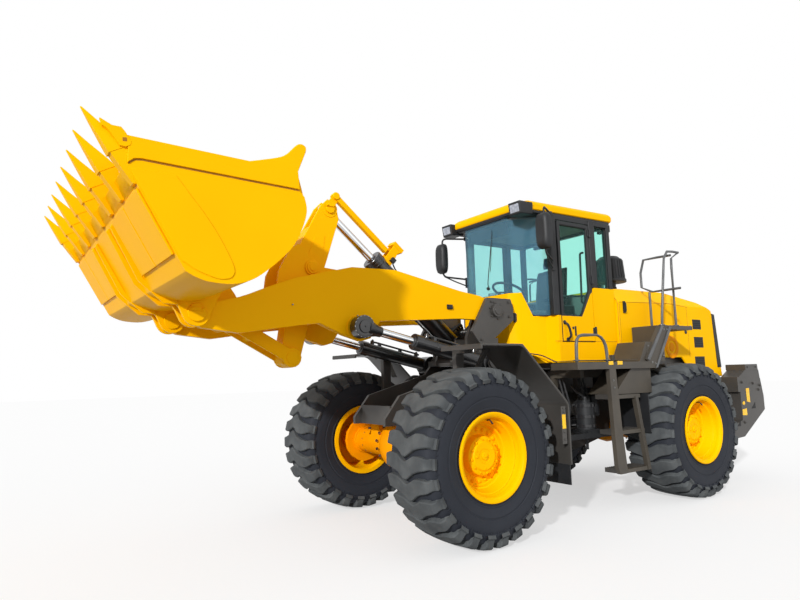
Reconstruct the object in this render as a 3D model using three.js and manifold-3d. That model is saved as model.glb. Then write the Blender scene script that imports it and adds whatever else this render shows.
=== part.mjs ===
// Articulated wheel loader: rear unit with engine, cab and platforms, front unit with tower, Z-bar
// linkage and bucket, four equal wheels. Millimetres, +X forward, +Y left, +Z up.
// Machine coordinates start on the ground under the articulation pivot; the exported group shifts
// them so that the origin lies on the ground under the middle of the machine's length.
import * as THREE from 'three';
import { mergeVertices } from 'three/addons/utils/BufferGeometryUtils.js';
import Module from 'manifold-3d';

const wasm = await Module();
wasm.setup();

// ---------------------------------------------------------------- driving dimensions
const MIDDLE_X = 616;                 // machine X that becomes the origin
const AXLE_X = 1650;                  // axles lie this far in front of and behind the pivot
const WHEEL_Y = 1100;                 // wheel centre plane
const TYRE_R = 780;
const TYRE_W = 590;
const CLEAR = 8;                      // running clearance beside pins and at joints

// pivot points of the working gear, [X, Z]
const BOOM_PIVOT = [712, 2180];
const BUCKET_PIN = [3947, 2045];
const LIFT_EYE = [2441, 1960];
const LIFT_FOOT = [931, 1611];
const CRANK_PIVOT = [2778, 2549];
const CRANK_TOP = [2540, 3180];
const CRANK_LOW = [2963, 1693];
const LINK_PIN = [3570, 2030];
const TILT_FOOT = [950, 1830];
const ARM_Y = [350, 430];             // inner and outer face of a boom arm
const LIFT_Y = 522;                   // plane of a lift cylinder
const STEER_FOOT = [-750, 430];       // [X, Y] of a steering cylinder's pins
const STEER_EYE = [350, 390];
const STEER_Z = 900;

// levels of the rear unit
const DECK_TOP = 1588;
const DECK_LOW = 1512;
const SILL = 2130;                    // lower edge of the side glass
const NOSE_TOP = 2478;                // lower edge of the rear side glass
const COWL_TOP = 2400;                // lower edge of the windscreen in the middle
const ROOF_LOW = 3300;
const CAB_Y = 750;
const CAB_REAR = -1000;
const HOOD_Y = 785;

// ---------------------------------------------------------------- solids
function solid(geometry) {
  const bare = geometry.clone();
  bare.deleteAttribute('normal');
  bare.deleteAttribute('uv');
  const merged = mergeVertices(bare.index ? bare : mergeVertices(bare), 1e-3);
  return new wasm.Manifold(new wasm.Mesh({
    numProp: 3,
    vertProperties: new Float32Array(merged.attributes.position.array),
    triVerts: new Uint32Array(merged.index.array),
  }));
}

function moved(geometry, { at = [0, 0, 0], turn = [0, 0, 0] }) {
  const place = new THREE.Matrix4().makeRotationFromEuler(new THREE.Euler(...turn));
  return geometry.applyMatrix4(place.setPosition(...at));
}

const join = (...pieces) => pieces.reduce((whole, piece) => whole.add(piece));
const cut = (piece, ...tools) => tools.reduce((rest, tool) => rest.subtract(tool), piece);

function outline(points) {
  return new THREE.Shape(points.map(([a, b]) => new THREE.Vector2(a, b)));
}

function extruded(shape, depth, curveSegments = 8) {
  return new THREE.ExtrudeGeometry(shape, { depth, bevelEnabled: false, curveSegments });
}

// plate with its outline in X and Z, from y0 to y1
function plateXZ(shape, y0, y1, curveSegments) {
  const flat = extruded(Array.isArray(shape) ? outline(shape) : shape, y1 - y0, curveSegments);
  return solid(moved(flat, { at: [0, y1, 0], turn: [Math.PI / 2, 0, 0] }));
}

// block with its outline in X and Y, from z0 to z1
function blockXY(shape, z0, z1, curveSegments) {
  const flat = extruded(Array.isArray(shape) ? outline(shape) : shape, z1 - z0, curveSegments);
  return solid(moved(flat, { at: [0, 0, z0] }));
}

// bar with its outline in Y and Z, from x0 to x1
function barYZ(shape, x0, x1, curveSegments) {
  const flat = extruded(Array.isArray(shape) ? outline(shape) : shape, x1 - x0, curveSegments);
  const place = new THREE.Matrix4().makeBasis(
    new THREE.Vector3(0, 1, 0), new THREE.Vector3(0, 0, 1), new THREE.Vector3(1, 0, 0));
  return solid(flat.applyMatrix4(place.setPosition(x0, 0, 0)));
}

function box(x0, x1, y0, y1, z0, z1) {
  const block = new THREE.BoxGeometry(x1 - x0, y1 - y0, z1 - z0);
  return solid(moved(block, { at: [(x0 + x1) / 2, (y0 + y1) / 2, (z0 + z1) / 2] }));
}

// round bar from one point to another
function round(from, to, radius, sides = 14, endRadius = radius) {
  const a = new THREE.Vector3(...from);
  const b = new THREE.Vector3(...to);
  const bar = new THREE.CylinderGeometry(endRadius, radius, a.distanceTo(b), sides);
  const along = b.clone().sub(a).normalize();
  const turn = new THREE.Quaternion().setFromUnitVectors(new THREE.Vector3(0, 1, 0), along);
  const middle = a.add(b).multiplyScalar(0.5);
  return solid(bar.applyMatrix4(new THREE.Matrix4().compose(middle, turn, new THREE.Vector3(1, 1, 1))));
}

// disc or pin across the machine, at [x, z]
const pin = ([x, z], radius, y0, y1, sides = 16) => round([x, y0, z], [x, y1, z], radius, sides);

// ring turned about the Y axis through a point; the profile is [y, r]
function turned(profile, sides) {
  const points = profile.map(([y, r]) => new THREE.Vector2(r, y));
  if (THREE.ShapeUtils.area(points) < 0) {
    points.reverse();
  }
  points.push(points[0].clone());
  return new THREE.LatheGeometry(points, sides);
}

// bent tube through points with rounded corners
function bentTube(points, radius, bend = 70, closed = false) {
  const corner = points.map((p) => new THREE.Vector3(...p));
  const path = new THREE.CurvePath();
  let last = corner[0];
  for (let i = 1; i < corner.length - 1; i += 1) {
    const before = corner[i - 1].clone().sub(corner[i]);
    const after = corner[i + 1].clone().sub(corner[i]);
    const reach = Math.min(bend, before.length() / 2.1, after.length() / 2.1);
    const start = corner[i].clone().add(before.setLength(reach));
    const end = corner[i].clone().add(after.setLength(reach));
    path.add(new THREE.LineCurve3(last, start));
    path.add(new THREE.QuadraticBezierCurve3(start, corner[i], end));
    last = end;
  }
  path.add(new THREE.LineCurve3(last, corner[corner.length - 1]));
  const sections = [];
  for (const piece of path.curves) {
    const count = piece.isLineCurve3 ? 1 : 2;
    for (let i = 0; i < count; i += 1) {
      sections.push(piece.getPoint(i / count));
    }
  }
  sections.push(corner[corner.length - 1]);
  return chain(sections, radius);
}

// tube along a list of close points, as one swept solid
function chain(sections, radius) {
  const line = new THREE.CurvePath();
  for (let i = 1; i < sections.length; i += 1) {
    line.add(new THREE.LineCurve3(sections[i - 1], sections[i]));
  }
  line.getPointAt = (t) => {
    const at = Math.min(t * (sections.length - 1), sections.length - 1 - 1e-9);
    const i = Math.floor(at);
    return sections[i].clone().lerp(sections[i + 1], at - i);
  };
  line.getTangentAt = (t) => {
    const at = Math.round(t * (sections.length - 1));
    const before = sections[Math.max(at - 1, 0)];
    const after = sections[Math.min(at + 1, sections.length - 1)];
    return after.clone().sub(before).normalize();
  };
  const ring = new THREE.Shape();
  ring.absarc(0, 0, radius, 0, 2 * Math.PI, false);
  return solid(new THREE.ExtrudeGeometry(ring, {
    steps: sections.length - 1, curveSegments: 4, bevelEnabled: false, extrudePath: line,
  }));
}

const mirrored = (piece) => piece.mirror([0, 1, 0]);

// ---------------------------------------------------------------- materials
const paint = (color, roughness, metalness = 0) =>
  new THREE.MeshStandardMaterial({ color, roughness, metalness });
const YELLOW = paint(0xf7bd00, 0.35);
const DARK = paint(0x33353a, 0.5);
const BLACK = paint(0x17181a, 0.6);
const RUBBER = paint(0x1d1e20, 0.9);
const CHROME = paint(0xd5d8db, 0.12, 1);
const GLASS = new THREE.MeshStandardMaterial({
  color: 0x7fb8b0, roughness: 0.05, transparent: true, opacity: 0.35,
});

// ---------------------------------------------------------------- scene graph
const machine = new THREE.Group();
machine.name = 'wheel_loader';
machine.position.x = -MIDDLE_X;

function add(name, piece, material, parent = machine) {
  const { vertProperties, triVerts, numProp } = piece.getMesh();
  const geometry = new THREE.BufferGeometry();
  const position = new Float32Array(vertProperties.length / numProp * 3);
  for (let i = 0; i < position.length / 3; i += 1) {
    position.set(vertProperties.subarray(i * numProp, i * numProp + 3), i * 3);
  }
  geometry.setAttribute('position', new THREE.BufferAttribute(position, 3));
  geometry.setIndex(new THREE.BufferAttribute(new Uint32Array(triVerts), 1));
  const mesh = new THREE.Mesh(geometry, material);
  mesh.name = name;
  parent.add(mesh);
  return mesh;
}

// ---------------------------------------------------------------- wheels
// profiles are [outward offset from the wheel's middle plane, radius]
const RIM_SEAT = 333;
const TYRE_PROFILE = [
  [-245, 336], [245, 336], [258, 392], [292, 500], [295, 610], [285, 715], [250, 765],
  [120, TYRE_R], [-120, TYRE_R], [-250, 765], [-285, 715], [-295, 610], [-292, 500], [-258, 392],
];
const RIM_PROFILE = [
  [30, 0], [170, 0], [160, 160], [100, 175], [105, 285], [284, 340], [284, 386], [264, 386],
  [250, RIM_SEAT], [-250, RIM_SEAT], [-264, 386], [-284, 386], [-284, 340], [50, 290], [30, 170],
];

function wheel(name, x, side) {
  const hub = new THREE.Group();
  hub.position.set(x, side * WHEEL_Y, TYRE_R);
  hub.rotation.z = side > 0 ? 0 : Math.PI;
  machine.add(hub);
  add(`tyre_${name}`, solid(turned(TYRE_PROFILE, 28)), RUBBER, hub);
  add(`rim_${name}`, solid(turned(RIM_PROFILE, 24)), YELLOW, hub);
}

// ---------------------------------------------------------------- axles
const HUB_INNER = WHEEL_Y + 30 - CLEAR;      // axle ends stop short of the turning hub

function axle(x, shaftTo) {
  const y = HUB_INNER;
  const centre = solid(moved(new THREE.SphereGeometry(235, 12, 8), { at: [x, 0, TYRE_R] }));
  const beam = join(
    round([x, -900, TYRE_R], [x, -150, TYRE_R], 130, 12, 165),
    round([x, 150, TYRE_R], [x, 900, TYRE_R], 165, 12, 130));
  const ends = join(
    round([x, 780, TYRE_R], [x, y, TYRE_R], 150, 12),
    round([x, -y, TYRE_R], [x, -780, TYRE_R], 150, 12),
    round([x, 800, TYRE_R], [x, 840, TYRE_R], 245, 16),
    round([x, -840, TYRE_R], [x, -800, TYRE_R], 245, 16));
  const seats = join(
    box(x - 150, x + 150, 260, 420, TYRE_R, 1000),
    box(x - 150, x + 150, -420, -260, TYRE_R, 1000));
  const shaft = round([x, 0, TYRE_R], [shaftTo, 0, TYRE_R], 48, 12);
  return join(centre, beam, ends, seats, shaft);
}

// ---------------------------------------------------------------- rear unit
function rearFrame() {
  const side = outline([
    [-210, 640], [-210, 1230], [-900, 1250], [-1350, 1120], [-2000, 1120], [-3060, 1150], [-3060, 800],
    [-2050, 760], [-1980, 1010], [-1320, 1010], [-1250, 700], [-600, 560]]);
  const left = plateXZ(side, 300, 345);
  const lugShape = (r) => {
    const shape = new THREE.Shape();
    shape.moveTo(-420, -300);
    shape.lineTo(0, -r);
    shape.absarc(0, 0, r, -Math.PI / 2, Math.PI / 2, false);
    shape.lineTo(-420, 300);
    return shape;
  };
  const topLug = join(
    blockXY(lugShape(150), 1120, 1170), blockXY(lugShape(150), 1258, 1308));
  const lowLug = join(
    blockXY(lugShape(150), 560, 610), blockXY(lugShape(150), 698, 748));
  const pins = join(
    round([0, 0, 1110], [0, 0, 1330], 60, 16), round([0, 0, 545], [0, 0, 760], 60, 16));
  const web = join(
    box(-450, -395, -302, 302, 560, 1308), box(-2900, -2840, -302, 302, 810, 1145),
    box(-1250, -1200, -302, 302, 720, 1140));
  const feet = [1, -1].map((s) => {
    const [y0, y1] = s > 0 ? [344, 490] : [-490, -344];
    return join(box(-860, -700, y0, y1, 957, 985), box(-860, -700, y0, y1, 815, 843));
  });
  const slots = [[278, 350], [-350, -278]].map(([y0, y1]) => box(-640, -200, y0, y1, 830, 970));
  return join(cut(join(left, mirrored(left), web), ...slots), topLug, lowLug, pins, ...feet);
}

const TOW_X = -3625;
const TOW_SLOT = [960, 1130];  // floor and roof of the tow slot

function counterweight() {
  const side = [[-2790, 560], [-3090, 575], [-3690, 905], [-3690, 1090], [-3636, 1334], [-3025, 1362],
    [-3025, 1162], [-3075, 1162], [-3075, 790], [-2930, 760]];
  const body = plateXZ(side, -1100, 1100);
  // lamp bracket on each end: a tapered foot under a wider block
  const foot = plateXZ([[-3060, 1350], [-3640, 1325], [-3620, 1451], [-3250, 1451]], 850, 1095);
  const head = plateXZ([[-3264, 1450], [-3600, 1450], [-3590, 1530], [-3264, 1530]], 830, 1099);
  const bracket = join(foot, head);
  const hollow = box(-3400, -2700, -360, 360, 500, 1200);
  return cut(join(body, bracket, mirrored(bracket)), hollow, box(-3700, -3560, -90, 90, ...TOW_SLOT));
}

// upright pin across the tow slot in the counterweight's rear face
function towPin() {
  return join(
    round([TOW_X, 0, TOW_SLOT[0] + 0.3], [TOW_X, 0, TOW_SLOT[1] - 0.3], 28, 16),
    round([TOW_X, 0, TOW_SLOT[1] - 24], [TOW_X, 0, TOW_SLOT[1] - 0.3], 46, 16));
}

function hood() {
  const side = outline([
    [-1012, 1640], [-1012, 2500], [-1250, 2516], [-2200, 2516], [-2830, 2400], [-3100, 2290],
    [-3260, 1375], [-2560, 1375], [-2300, 1640]]);
  const inner = outline([
    [-1040, 1500], [-1040, 2470], [-1250, 2486], [-2200, 2486], [-2820, 2372], [-3070, 2268],
    [-3400, 1300], [-3400, 1200], [-1040, 1200]]);
  const across = [[-HOOD_Y, 1300], [-HOOD_Y, 2330], [-640, 2520], [640, 2520], [HOOD_Y, 2330],
    [HOOD_Y, 1300]];
  const shell = plateXZ(side, -HOOD_Y, HOOD_Y).intersect(barYZ(across, -3400, -900));
  const acrossIn = [[-HOOD_Y + 30, 1200], [-HOOD_Y + 30, 2310], [-625, 2490], [625, 2490],
    [HOOD_Y - 30, 2310], [HOOD_Y - 30, 1200]];
  const hollow = plateXZ(inner, -HOOD_Y, HOOD_Y).intersect(barYZ(acrossIn, -3400, -900));
  return cut(shell, hollow);
}

// tailgate over the cooler, hinged along its right edge
function rearGrille() {
  const panel = plateXZ([[-3120, 2240], [-3226, 1610], [-3256, 1610], [-3150, 2240]], -700, 700);
  return panel;
}

const cabPlan = (inset) => [
  [430 - inset, 380 - inset / 2], [330 - inset, 500 - inset], [60 - inset, 600 - inset],
  [20 - inset, CAB_Y - inset], [CAB_REAR + inset, CAB_Y - inset]];
const bothSides = (half) => [...half, ...half.map(([x, y]) => [x, -y]).reverse()];

function cabLower() {
  const profile = [
    [500, 1724], [377, 1724], [201, 1680], [88, 1600], [-1100, 1600], [-1100, NOSE_TOP],
    [-634, NOSE_TOP], [-370, SILL], [205, SILL], [328, COWL_TOP], [500, COWL_TOP]];
  const outer = blockXY(bothSides(cabPlan(0)), 1590, 2500)
    .intersect(plateXZ(profile, -800, 800));
  const room = blockXY(bothSides(cabPlan(38)), 1760, 2600);
  const doorway = box(-600, -30, 600, 800, 1828, 2700);
  return cut(outer, room, doorway);
}

// pillars and rails of the cab, outside the glass line
function cabFrame() {
  const post = (x0, x1, y0, y1, z0, z1) => join(box(x0, x1, y0, y1, z0, z1), box(x0, x1, -y1, -y0, z0, z1));
  return join(
    post(-26, 70, 672, 742, SILL + 1, ROOF_LOW),
    box(-700, -604, 672, 742, NOSE_TOP + 1, ROOF_LOW),
    box(-700, -604, -742, -672, NOSE_TOP + 1, ROOF_LOW),
    post(-1000, -940, 672, 742, NOSE_TOP + 1, ROOF_LOW),
    box(-1000, 70, 672, 742, ROOF_LOW - 60, ROOF_LOW),
    box(-1000, 70, -742, -672, ROOF_LOW - 60, ROOF_LOW),
    box(-1000, -940, -742, 742, ROOF_LOW - 60, ROOF_LOW));
}

function cabRoof() {
  const plan = [[420, -560], [350, -700], [-1080, -740], [-1150, -640], [-1150, 640], [-1080, 740],
    [350, 700], [420, 560]];
  const low = blockXY(plan, ROOF_LOW + 1, ROOF_LOW + 90);
  const top = plateXZ([[430, 3390], [380, 3425], [100, 3470], [-900, 3470], [-1160, 3400], [-1160, 3380],
    [430, 3380]], -640, 640);
  return join(low, top);
}

function windscreen() {
  const outer = [[30, 650], [290, 465], [400, 350]];
  const inner = [[22, 626], [272, 446], [376, 340]];
  const flip = (points) => points.map(([x, y]) => [x, -y]);
  const strip = [...outer, ...flip(outer).reverse(), ...flip(inner), ...inner.slice().reverse()];
  const wrap = blockXY(strip, SILL - 10, ROOF_LOW - 1);
  const low = plateXZ([[20, SILL + 1], [199, SILL + 1], [322, COWL_TOP + 1], [600, COWL_TOP + 1], [600, 4000],
    [20, 4000]], -800, 800);
  return wrap.intersect(low);
}

function door() {
  const rim = plateXZ([[-38, 1836], [-38, 3230], [-590, 3230], [-590, 1836]], 712, 752);
  const light = plateXZ([[-80, SILL + 5], [-80, 3190], [-550, 3190], [-550, 2440], [-390, SILL + 5]],
    700, 760);
  return cut(rim, light);
}

const doorGlass = () => plateXZ(
  [[-80.5, SILL + 5.5], [-80.5, 3189.5], [-549.5, 3189.5], [-549.5, 2440], [-390, SILL + 5.5]], 726, 732);

function paneXZ(points, y) {
  return plateXZ(points, y - 3, y + 3);
}

function seat() {
  return join(
    box(-720, -220, -250, 250, 2110, 2210),
    plateXZ([[-700, 2205], [-620, 2205], [-700, 2830], [-790, 2830]], -230, 230),
    box(-620, -320, -180, 180, 1762, 2112),
    box(-560, -260, -330, -270, 2330, 2370), box(-560, -260, 270, 330, 2330, 2370),
    box(-600, -540, -330, -225, 2180, 2370), box(-600, -540, 225, 330, 2180, 2370));
}

function steeringColumn() {
  const top = [40, 0, 2500];
  const ring = solid(new THREE.TorusGeometry(190, 16, 6, 16)
    .applyMatrix4(new THREE.Matrix4().makeRotationY(0.45).setPosition(...top)));
  return join(
    round([180, 0, 1790], [52, 0, 2480], 50, 12), ring,
    round([-140, 0, 2582], [215, 0, 2412], 14, 8), round([40, -185, 2500], [40, 185, 2500], 14, 8),
    box(120, 330, -260, 260, 1762, 2200));
}

const STEP_TOP = 1812;         // tread between the deck and the walkway
const WALK_TOP = 2010;         // walkway along the hood
const RAIL_FOOT = WALK_TOP + 0.3;

function platform(s) {
  const y = (a, b) => (s > 0 ? [a, b] : [-b, -a]);
  const flip = (points) => points.map(([px, py]) => [px, s * py]);
  const deck = blockXY(flip([[190, 755], [190, 1040], [285, 1070], [285, 1200], [-1050, 1200], [-1050, 755]]),
    DECK_LOW, DECK_TOP);
  const stepBox = plateXZ([[-793, DECK_TOP - 1], [-930, STEP_TOP], [-1290, STEP_TOP], [-1290, DECK_TOP - 1]],
    ...y(800, 1180));
  const riser = box(-1290, -1232, ...y(800, 1180), STEP_TOP - 1, 1965);
  const stringer = plateXZ([[-887, 1614], [-1069, 1501], [-1419, 2007], [-1211, 2002]], ...y(1150, 1200));
  const walk = box(-1880, -1232, ...y(800, 1200), 1964, WALK_TOP);
  const stile = plateXZ([[-224, DECK_LOW + 1], [-224, 1432], [-240, 900], [-262, 480], [-300, 400], [-400, 400],
    [-419, 440], [-372, 900], [-345, 1308], [-336, 1432], [-330, DECK_LOW + 1]], ...y(1150, 1200));
  const rearStile = plateXZ([[-640, 1206], [-790, 400], [-840, 400], [-690, 1206]], ...y(1150, 1200));
  const steps = [400, 810, 1190].map((z, i) => {
    const front = [-345, -300, -260][i];
    return box(front - 480, front, ...y(960, 1190), z, z + 40);
  });
  const inner = [[-330, 400], [-300, 810]].map(([x, z]) =>
    box(x - 300, x - 250, ...y(960, 1000), z, z + 860));
  const chest = plateXZ([[-656, DECK_LOW + 1], [-336, 1235], [-1011, 1235], [-1011, DECK_LOW + 1]], ...y(800, 1160));
  const arms = [-700, -300].map((x) => join(
    box(x, x + 60, ...y(346, 792), 1420, DECK_LOW + 1),
    box(x, x + 60, ...y(346, 400), 1150, 1500)));
  return join(deck, stepBox, riser, stringer, walk, stile, rearStile, ...steps, ...inner, ...arms, chest);
}

function grabRail(s) {
  const side = (x, z) => [x, s * 1175, z];
  const foot = (x) => [side(x, DECK_TOP + 0.3), side(x, DECK_TOP + 90)];
  return bentTube([...foot(264), side(250, 1870), side(-125, 1880), side(-215, 1795), ...foot(-230).reverse()], 17);
}

// upright air tank on a beam that hangs from the frame between the wheels
function sideTank(s) {
  const y = (a, b) => (s > 0 ? [a, b] : [-b, -a]);
  const centre = s * 850;
  return join(
    round([-215, centre, 861], [-215, centre, 1150], 100, 20), round([-215, centre, 1140], [-215, centre, 1175], 60, 16),
    round([-215, centre, 640], [-215, centre, 865], 16, 8),
    box(-531, 240, ...y(900, 955), 770, 829), box(-310, -120, ...y(755, 955), 826, 862),
    box(-500, -440, ...y(346, 902), 772, 812), box(-460, -440, ...y(346, 380), 740, 812));
}

// rail at the head of the steps: a leaning hoop on the outer edge, and a loop across the walkway
function handrail(s) {
  const at = (px, py, pz) => [px, s * py, pz];
  const hoop = bentTube([at(-1281, 1180, RAIL_FOOT), at(-1281, 1180, 2060), at(-1431, 1180, 2870),
    at(-1499, 1180, 2928), at(-1750, 1180, 2928),
    at(-1756, 1180, 2896), at(-1570, 1180, 2890), at(-1570, 1180, RAIL_FOOT)], 15);
  const across = bentTube([at(-1570, 1180, 2880), at(-1570, 752, 2890), at(-1570, 752, 2462),
    at(-1570, 1276, 2462)], 15);
  return join(hoop, across, round(at(-1570, 856, RAIL_FOOT), at(-1570, 856, 2462), 15, 10));
}

function mirror(s) {
  const arm = bentTube([[60, s * 758, 3220], [330, s * 860, 3230], [330, s * 860, 2760], [60, s * 758, 2700]], 13);
  const head = box(300, 380, s > 0 ? 800 : -1010, s > 0 ? 1010 : -800, 2770, 3180);
  return join(arm, head);
}

function precleaner() {
  const at = (z) => [-1750, 150, z];
  return join(
    round(at(2518), at(2700), 75, 16), round(at(2690), at(2730), 215, 24),
    round(at(2720), at(3010), 195, 24, 175), round(at(3000), at(3050), 175, 24, 120));
}

// ---------------------------------------------------------------- front unit
function frontFrame() {
  const side = outline([
    [210, 620], [210, 1180], [330, 1540], [640, 1590], [1069, 1590], [1150, 1500], [1900, 1300], [2080, 1080],
    [2080, 1010], [1320, 1010], [1250, 760], [900, 620]]);
  const left = plateXZ(side, 275, 315);
  const lug = new THREE.Shape();
  lug.moveTo(300, 200);
  lug.lineTo(0, 130);
  lug.absarc(0, 0, 130, Math.PI / 2, Math.PI * 1.5, false);
  lug.lineTo(300, -200);
  const hole = round([0, 0, 500], [0, 0, 1400], 66, 16);
  const top = cut(blockXY(lug, 1178, 1250), hole);
  const low = cut(blockXY(lug, 618, 690), hole);
  const webs = join(
    box(240, 300, -277, 277, 620, 1250), box(1200, 1250, -277, 277, 760, 1440),
    box(645, 695, -277, 277, 1250, 1589), box(1950, 2000, -277, 277, 1011, 1200));
  const steer = join(
    box(270, 410, 276, 450, STEER_Z + 57, STEER_Z + 85), box(270, 410, 276, 450, STEER_Z - 85, STEER_Z - 57));
  const half = join(left, steer);
  return join(half, mirrored(half), top, low, webs);
}

// tower that carries the boom, the lift cylinders and the tilt cylinder; welded on the front frame
function boomTower() {
  const outerPlate = plateXZ([
    [485, 2320], [835, 2320], [1065, 1950], [985, 1845], [845, 1712], [790, 1680], [790, 1848], [450, 2085],
    [450, 2220]], 440, 480);
  const innerPlate = plateXZ([[640, 2320], [820, 2320], [1000, 1900], [1000, 1591], [640, 1591]],
    275, 315);
  const shelf = plateXZ([[700, 1880], [786, 1880], [840, 1735], [840, 1714], [700, 1690]], 276, 478);
  const boss = pin(BOOM_PIVOT, 70, 276, 500, 16);
  const footPlate = [[800, 1445], [960, 1445], [1000, 1600], [931, 1690], [850, 1650]];
  const foot = join(
    plateXZ(footPlate, 404, 420), plateXZ(footPlate, 620, 638), box(800, 960, 317, 638, 1445, 1478),
    box(800, 850, 312, 420, 1595, 1715));
  const tiltFoot = join(
    plateXZ([[780, 1600], [1100, 1600], [1030, 1880], [900, 1880]], 128, 160),
    box(780, 1100, 128, 277, 1600, 1650), box(645, 1069, -1, 315, 1591, 1626));
  const half = join(outerPlate, innerPlate, shelf, boss, foot, tiltFoot);
  const backWall = box(645, 695, -277, 277, 1591, 1990);
  return join(half, mirrored(half), backWall);
}

function fender(s) {
  const y = (a, b) => (s > 0 ? [a, b] : [-b, -a]);
  const outer = [[1757, 1762], [1249, 1762], [700, 1222], [672, 1180], [672, 620], [690, 620], [690, 1172],
    [716, 1212], [1258, 1744], [1739, 1744], [1739, 1716], [1757, 1716]];
  const skin = plateXZ(outer, ...y(820, 1390));
  const strut = join(
    box(1380, 1480, ...y(316, 700), 1240, 1300), box(1380, 1480, ...y(640, 700), 1240, 1744),
    box(1380, 1480, ...y(640, 830), 1700, 1744));
  return join(skin, strut);
}

const BRACKET_Y = [132, 167];  // plates that carry the crank's pivot, either side of it

function boomArm() {
  const shape = outline([
    [4028, 2045], [4005, 1985], [3950, 1957], [3890, 1928], [3574, 1890], [3028, 1970], [2831, 1993], [2575, 1888],
    [2394, 1834], [2300, 1860], [2188, 2030], [1186, 2084], [770, 2075], [640, 2110], [610, 2180],
    [640, 2260], [891, 2340], [1172, 2379], [1999, 2544], [2489, 2536], [2775, 2467], [3074, 2390],
    [3310, 2304], [3550, 2204], [3760, 2148], [3900, 2112], [4000, 2100]]);
  const hole = pin(BOOM_PIVOT, 78, 200, 600, 18);
  return cut(plateXZ(shape, ...ARM_Y), hole);
}

function boom() {
  const arm = boomArm();
  const crankPlate = [[2440, 2150], [2640, 2150], [3000, 2230], [3135, 2374], [3121, 2488], [3050, 2627],
    [2990, 2730], [2923, 2766], [2860, 2736], [2793, 2649], [2654, 2562], [2478, 2546]];
  const cross = join(
    round([2520, -352, 2250], [2520, 352, 2250], 140, 16),
    plateXZ(crankPlate, ...BRACKET_Y), plateXZ(crankPlate, -BRACKET_Y[1], -BRACKET_Y[0]));
  const pivot = pin(CRANK_PIVOT, 60, -172, 172, 16);
  const eyes = join(pin(LIFT_EYE, 85, 428, 434, 16), pin(BUCKET_PIN, 78, 346, 434, 16));
  return join(arm, mirrored(arm), cross, pivot, eyes, mirrored(eyes));
}

function bellcrank() {
  const shape = outline([
    [2559, 3282], [2470, 3240], [2436, 3089], [2577, 2650], [2700, 2300], [2850, 1750], [2880, 1640],
    [2963, 1599], [3050, 1640], [3057, 1750], [2960, 2350], [2930, 2600], [2869, 2785], [2640, 3200]]);
  const plate = plateXZ(shape, -85, 85);
  const fork = box(2380, 2760, -54, 54, 2900, 3400);
  return cut(plate, pin(CRANK_PIVOT, 66, -200, 200, 16), fork);
}

function bucketLink() {
  const along = new THREE.Vector2(LINK_PIN[0] - CRANK_LOW[0], LINK_PIN[1] - CRANK_LOW[1]);
  const bar = (y0, y1) => {
    const normal = new THREE.Vector2(-along.y, along.x).setLength(62);
    const a = new THREE.Vector2(...CRANK_LOW);
    const b = new THREE.Vector2(...LINK_PIN);
    const corners = [a.clone().add(normal), b.clone().add(normal), b.clone().sub(normal),
      a.clone().sub(normal)].map((v) => [v.x, v.y]);
    return join(plateXZ(corners, y0, y1), pin(CRANK_LOW, 92, y0, y1, 16), pin(LINK_PIN, 92, y0, y1, 16));
  };
  const tie = new THREE.Vector2(...CRANK_LOW).lerp(new THREE.Vector2(...LINK_PIN), 0.6);
  return join(bar(93, 123), bar(-123, -93), pin([tie.x, tie.y], 45, -95, 95, 12));
}

// bucket: cross-section of the shell in X and Z, rolled back on its stop
const BUCKET_Y = 1500;
const SIDE = 32;                      // thickness of the side plates
const EDGE_TIP = [4669, 2845];        // front edge of the cutting edge, underneath
const EDGE_ALONG = [0.4957, 0.8685];  // direction of the bottom plate, towards the edge
const EDGE_DEPTH = 150;
// point of the cutting edge: distance along the bottom plate and up from its underside
const edgePoint = (along, up) => [
  EDGE_TIP[0] + along * EDGE_ALONG[0] - up * EDGE_ALONG[1],
  EDGE_TIP[1] + along * EDGE_ALONG[1] + up * EDGE_ALONG[0]];

function bucketShell() {
  const outer = outline([
    EDGE_TIP, [4331, 2253], [4240, 2185], [4148, 2156], [3990, 2130], [3854, 2166], [3735, 2252],
    [3554, 2435], [3444, 2696], [3505, 2835], [3520, 2981], [3456, 3151], [3511, 3193],
    [3658, 3060], [3899, 2995], [4661, 3022]]);
  const block = plateXZ(outer, -BUCKET_Y, BUCKET_Y);
  const room = plateXZ([
    edgePoint(10, -5), edgePoint(-EDGE_DEPTH, -5), edgePoint(-EDGE_DEPTH, 33), [4300, 2275],
    [4225, 2215], [4140, 2190], [3990, 2166], [3870, 2200], [3758, 2280], [3585, 2452], [3482, 2696],
    [3540, 2830], [3556, 2981], [3500, 3140], [3420, 3260], [4400, 3600], [5200, 3200]],
    -BUCKET_Y + SIDE, BUCKET_Y - SIDE);
  const linkEar = [[3640, 2370], [3480, 2120], [3480, 1960], [3570, 1935], [3680, 1980], [3900, 2160]];
  const armEar = [[3640, 2370], [3800, 2100], [3860, 1960], [3947, 1935], [4040, 1980], [4100, 2100],
    [4150, 2190]];
  const ears = cut(
    join(plateXZ(linkEar, 132, 168), plateXZ(armEar, 300, 340), plateXZ(armEar, 440, 480)), room);
  return join(cut(block, room), ears, mirrored(ears));
}

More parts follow.
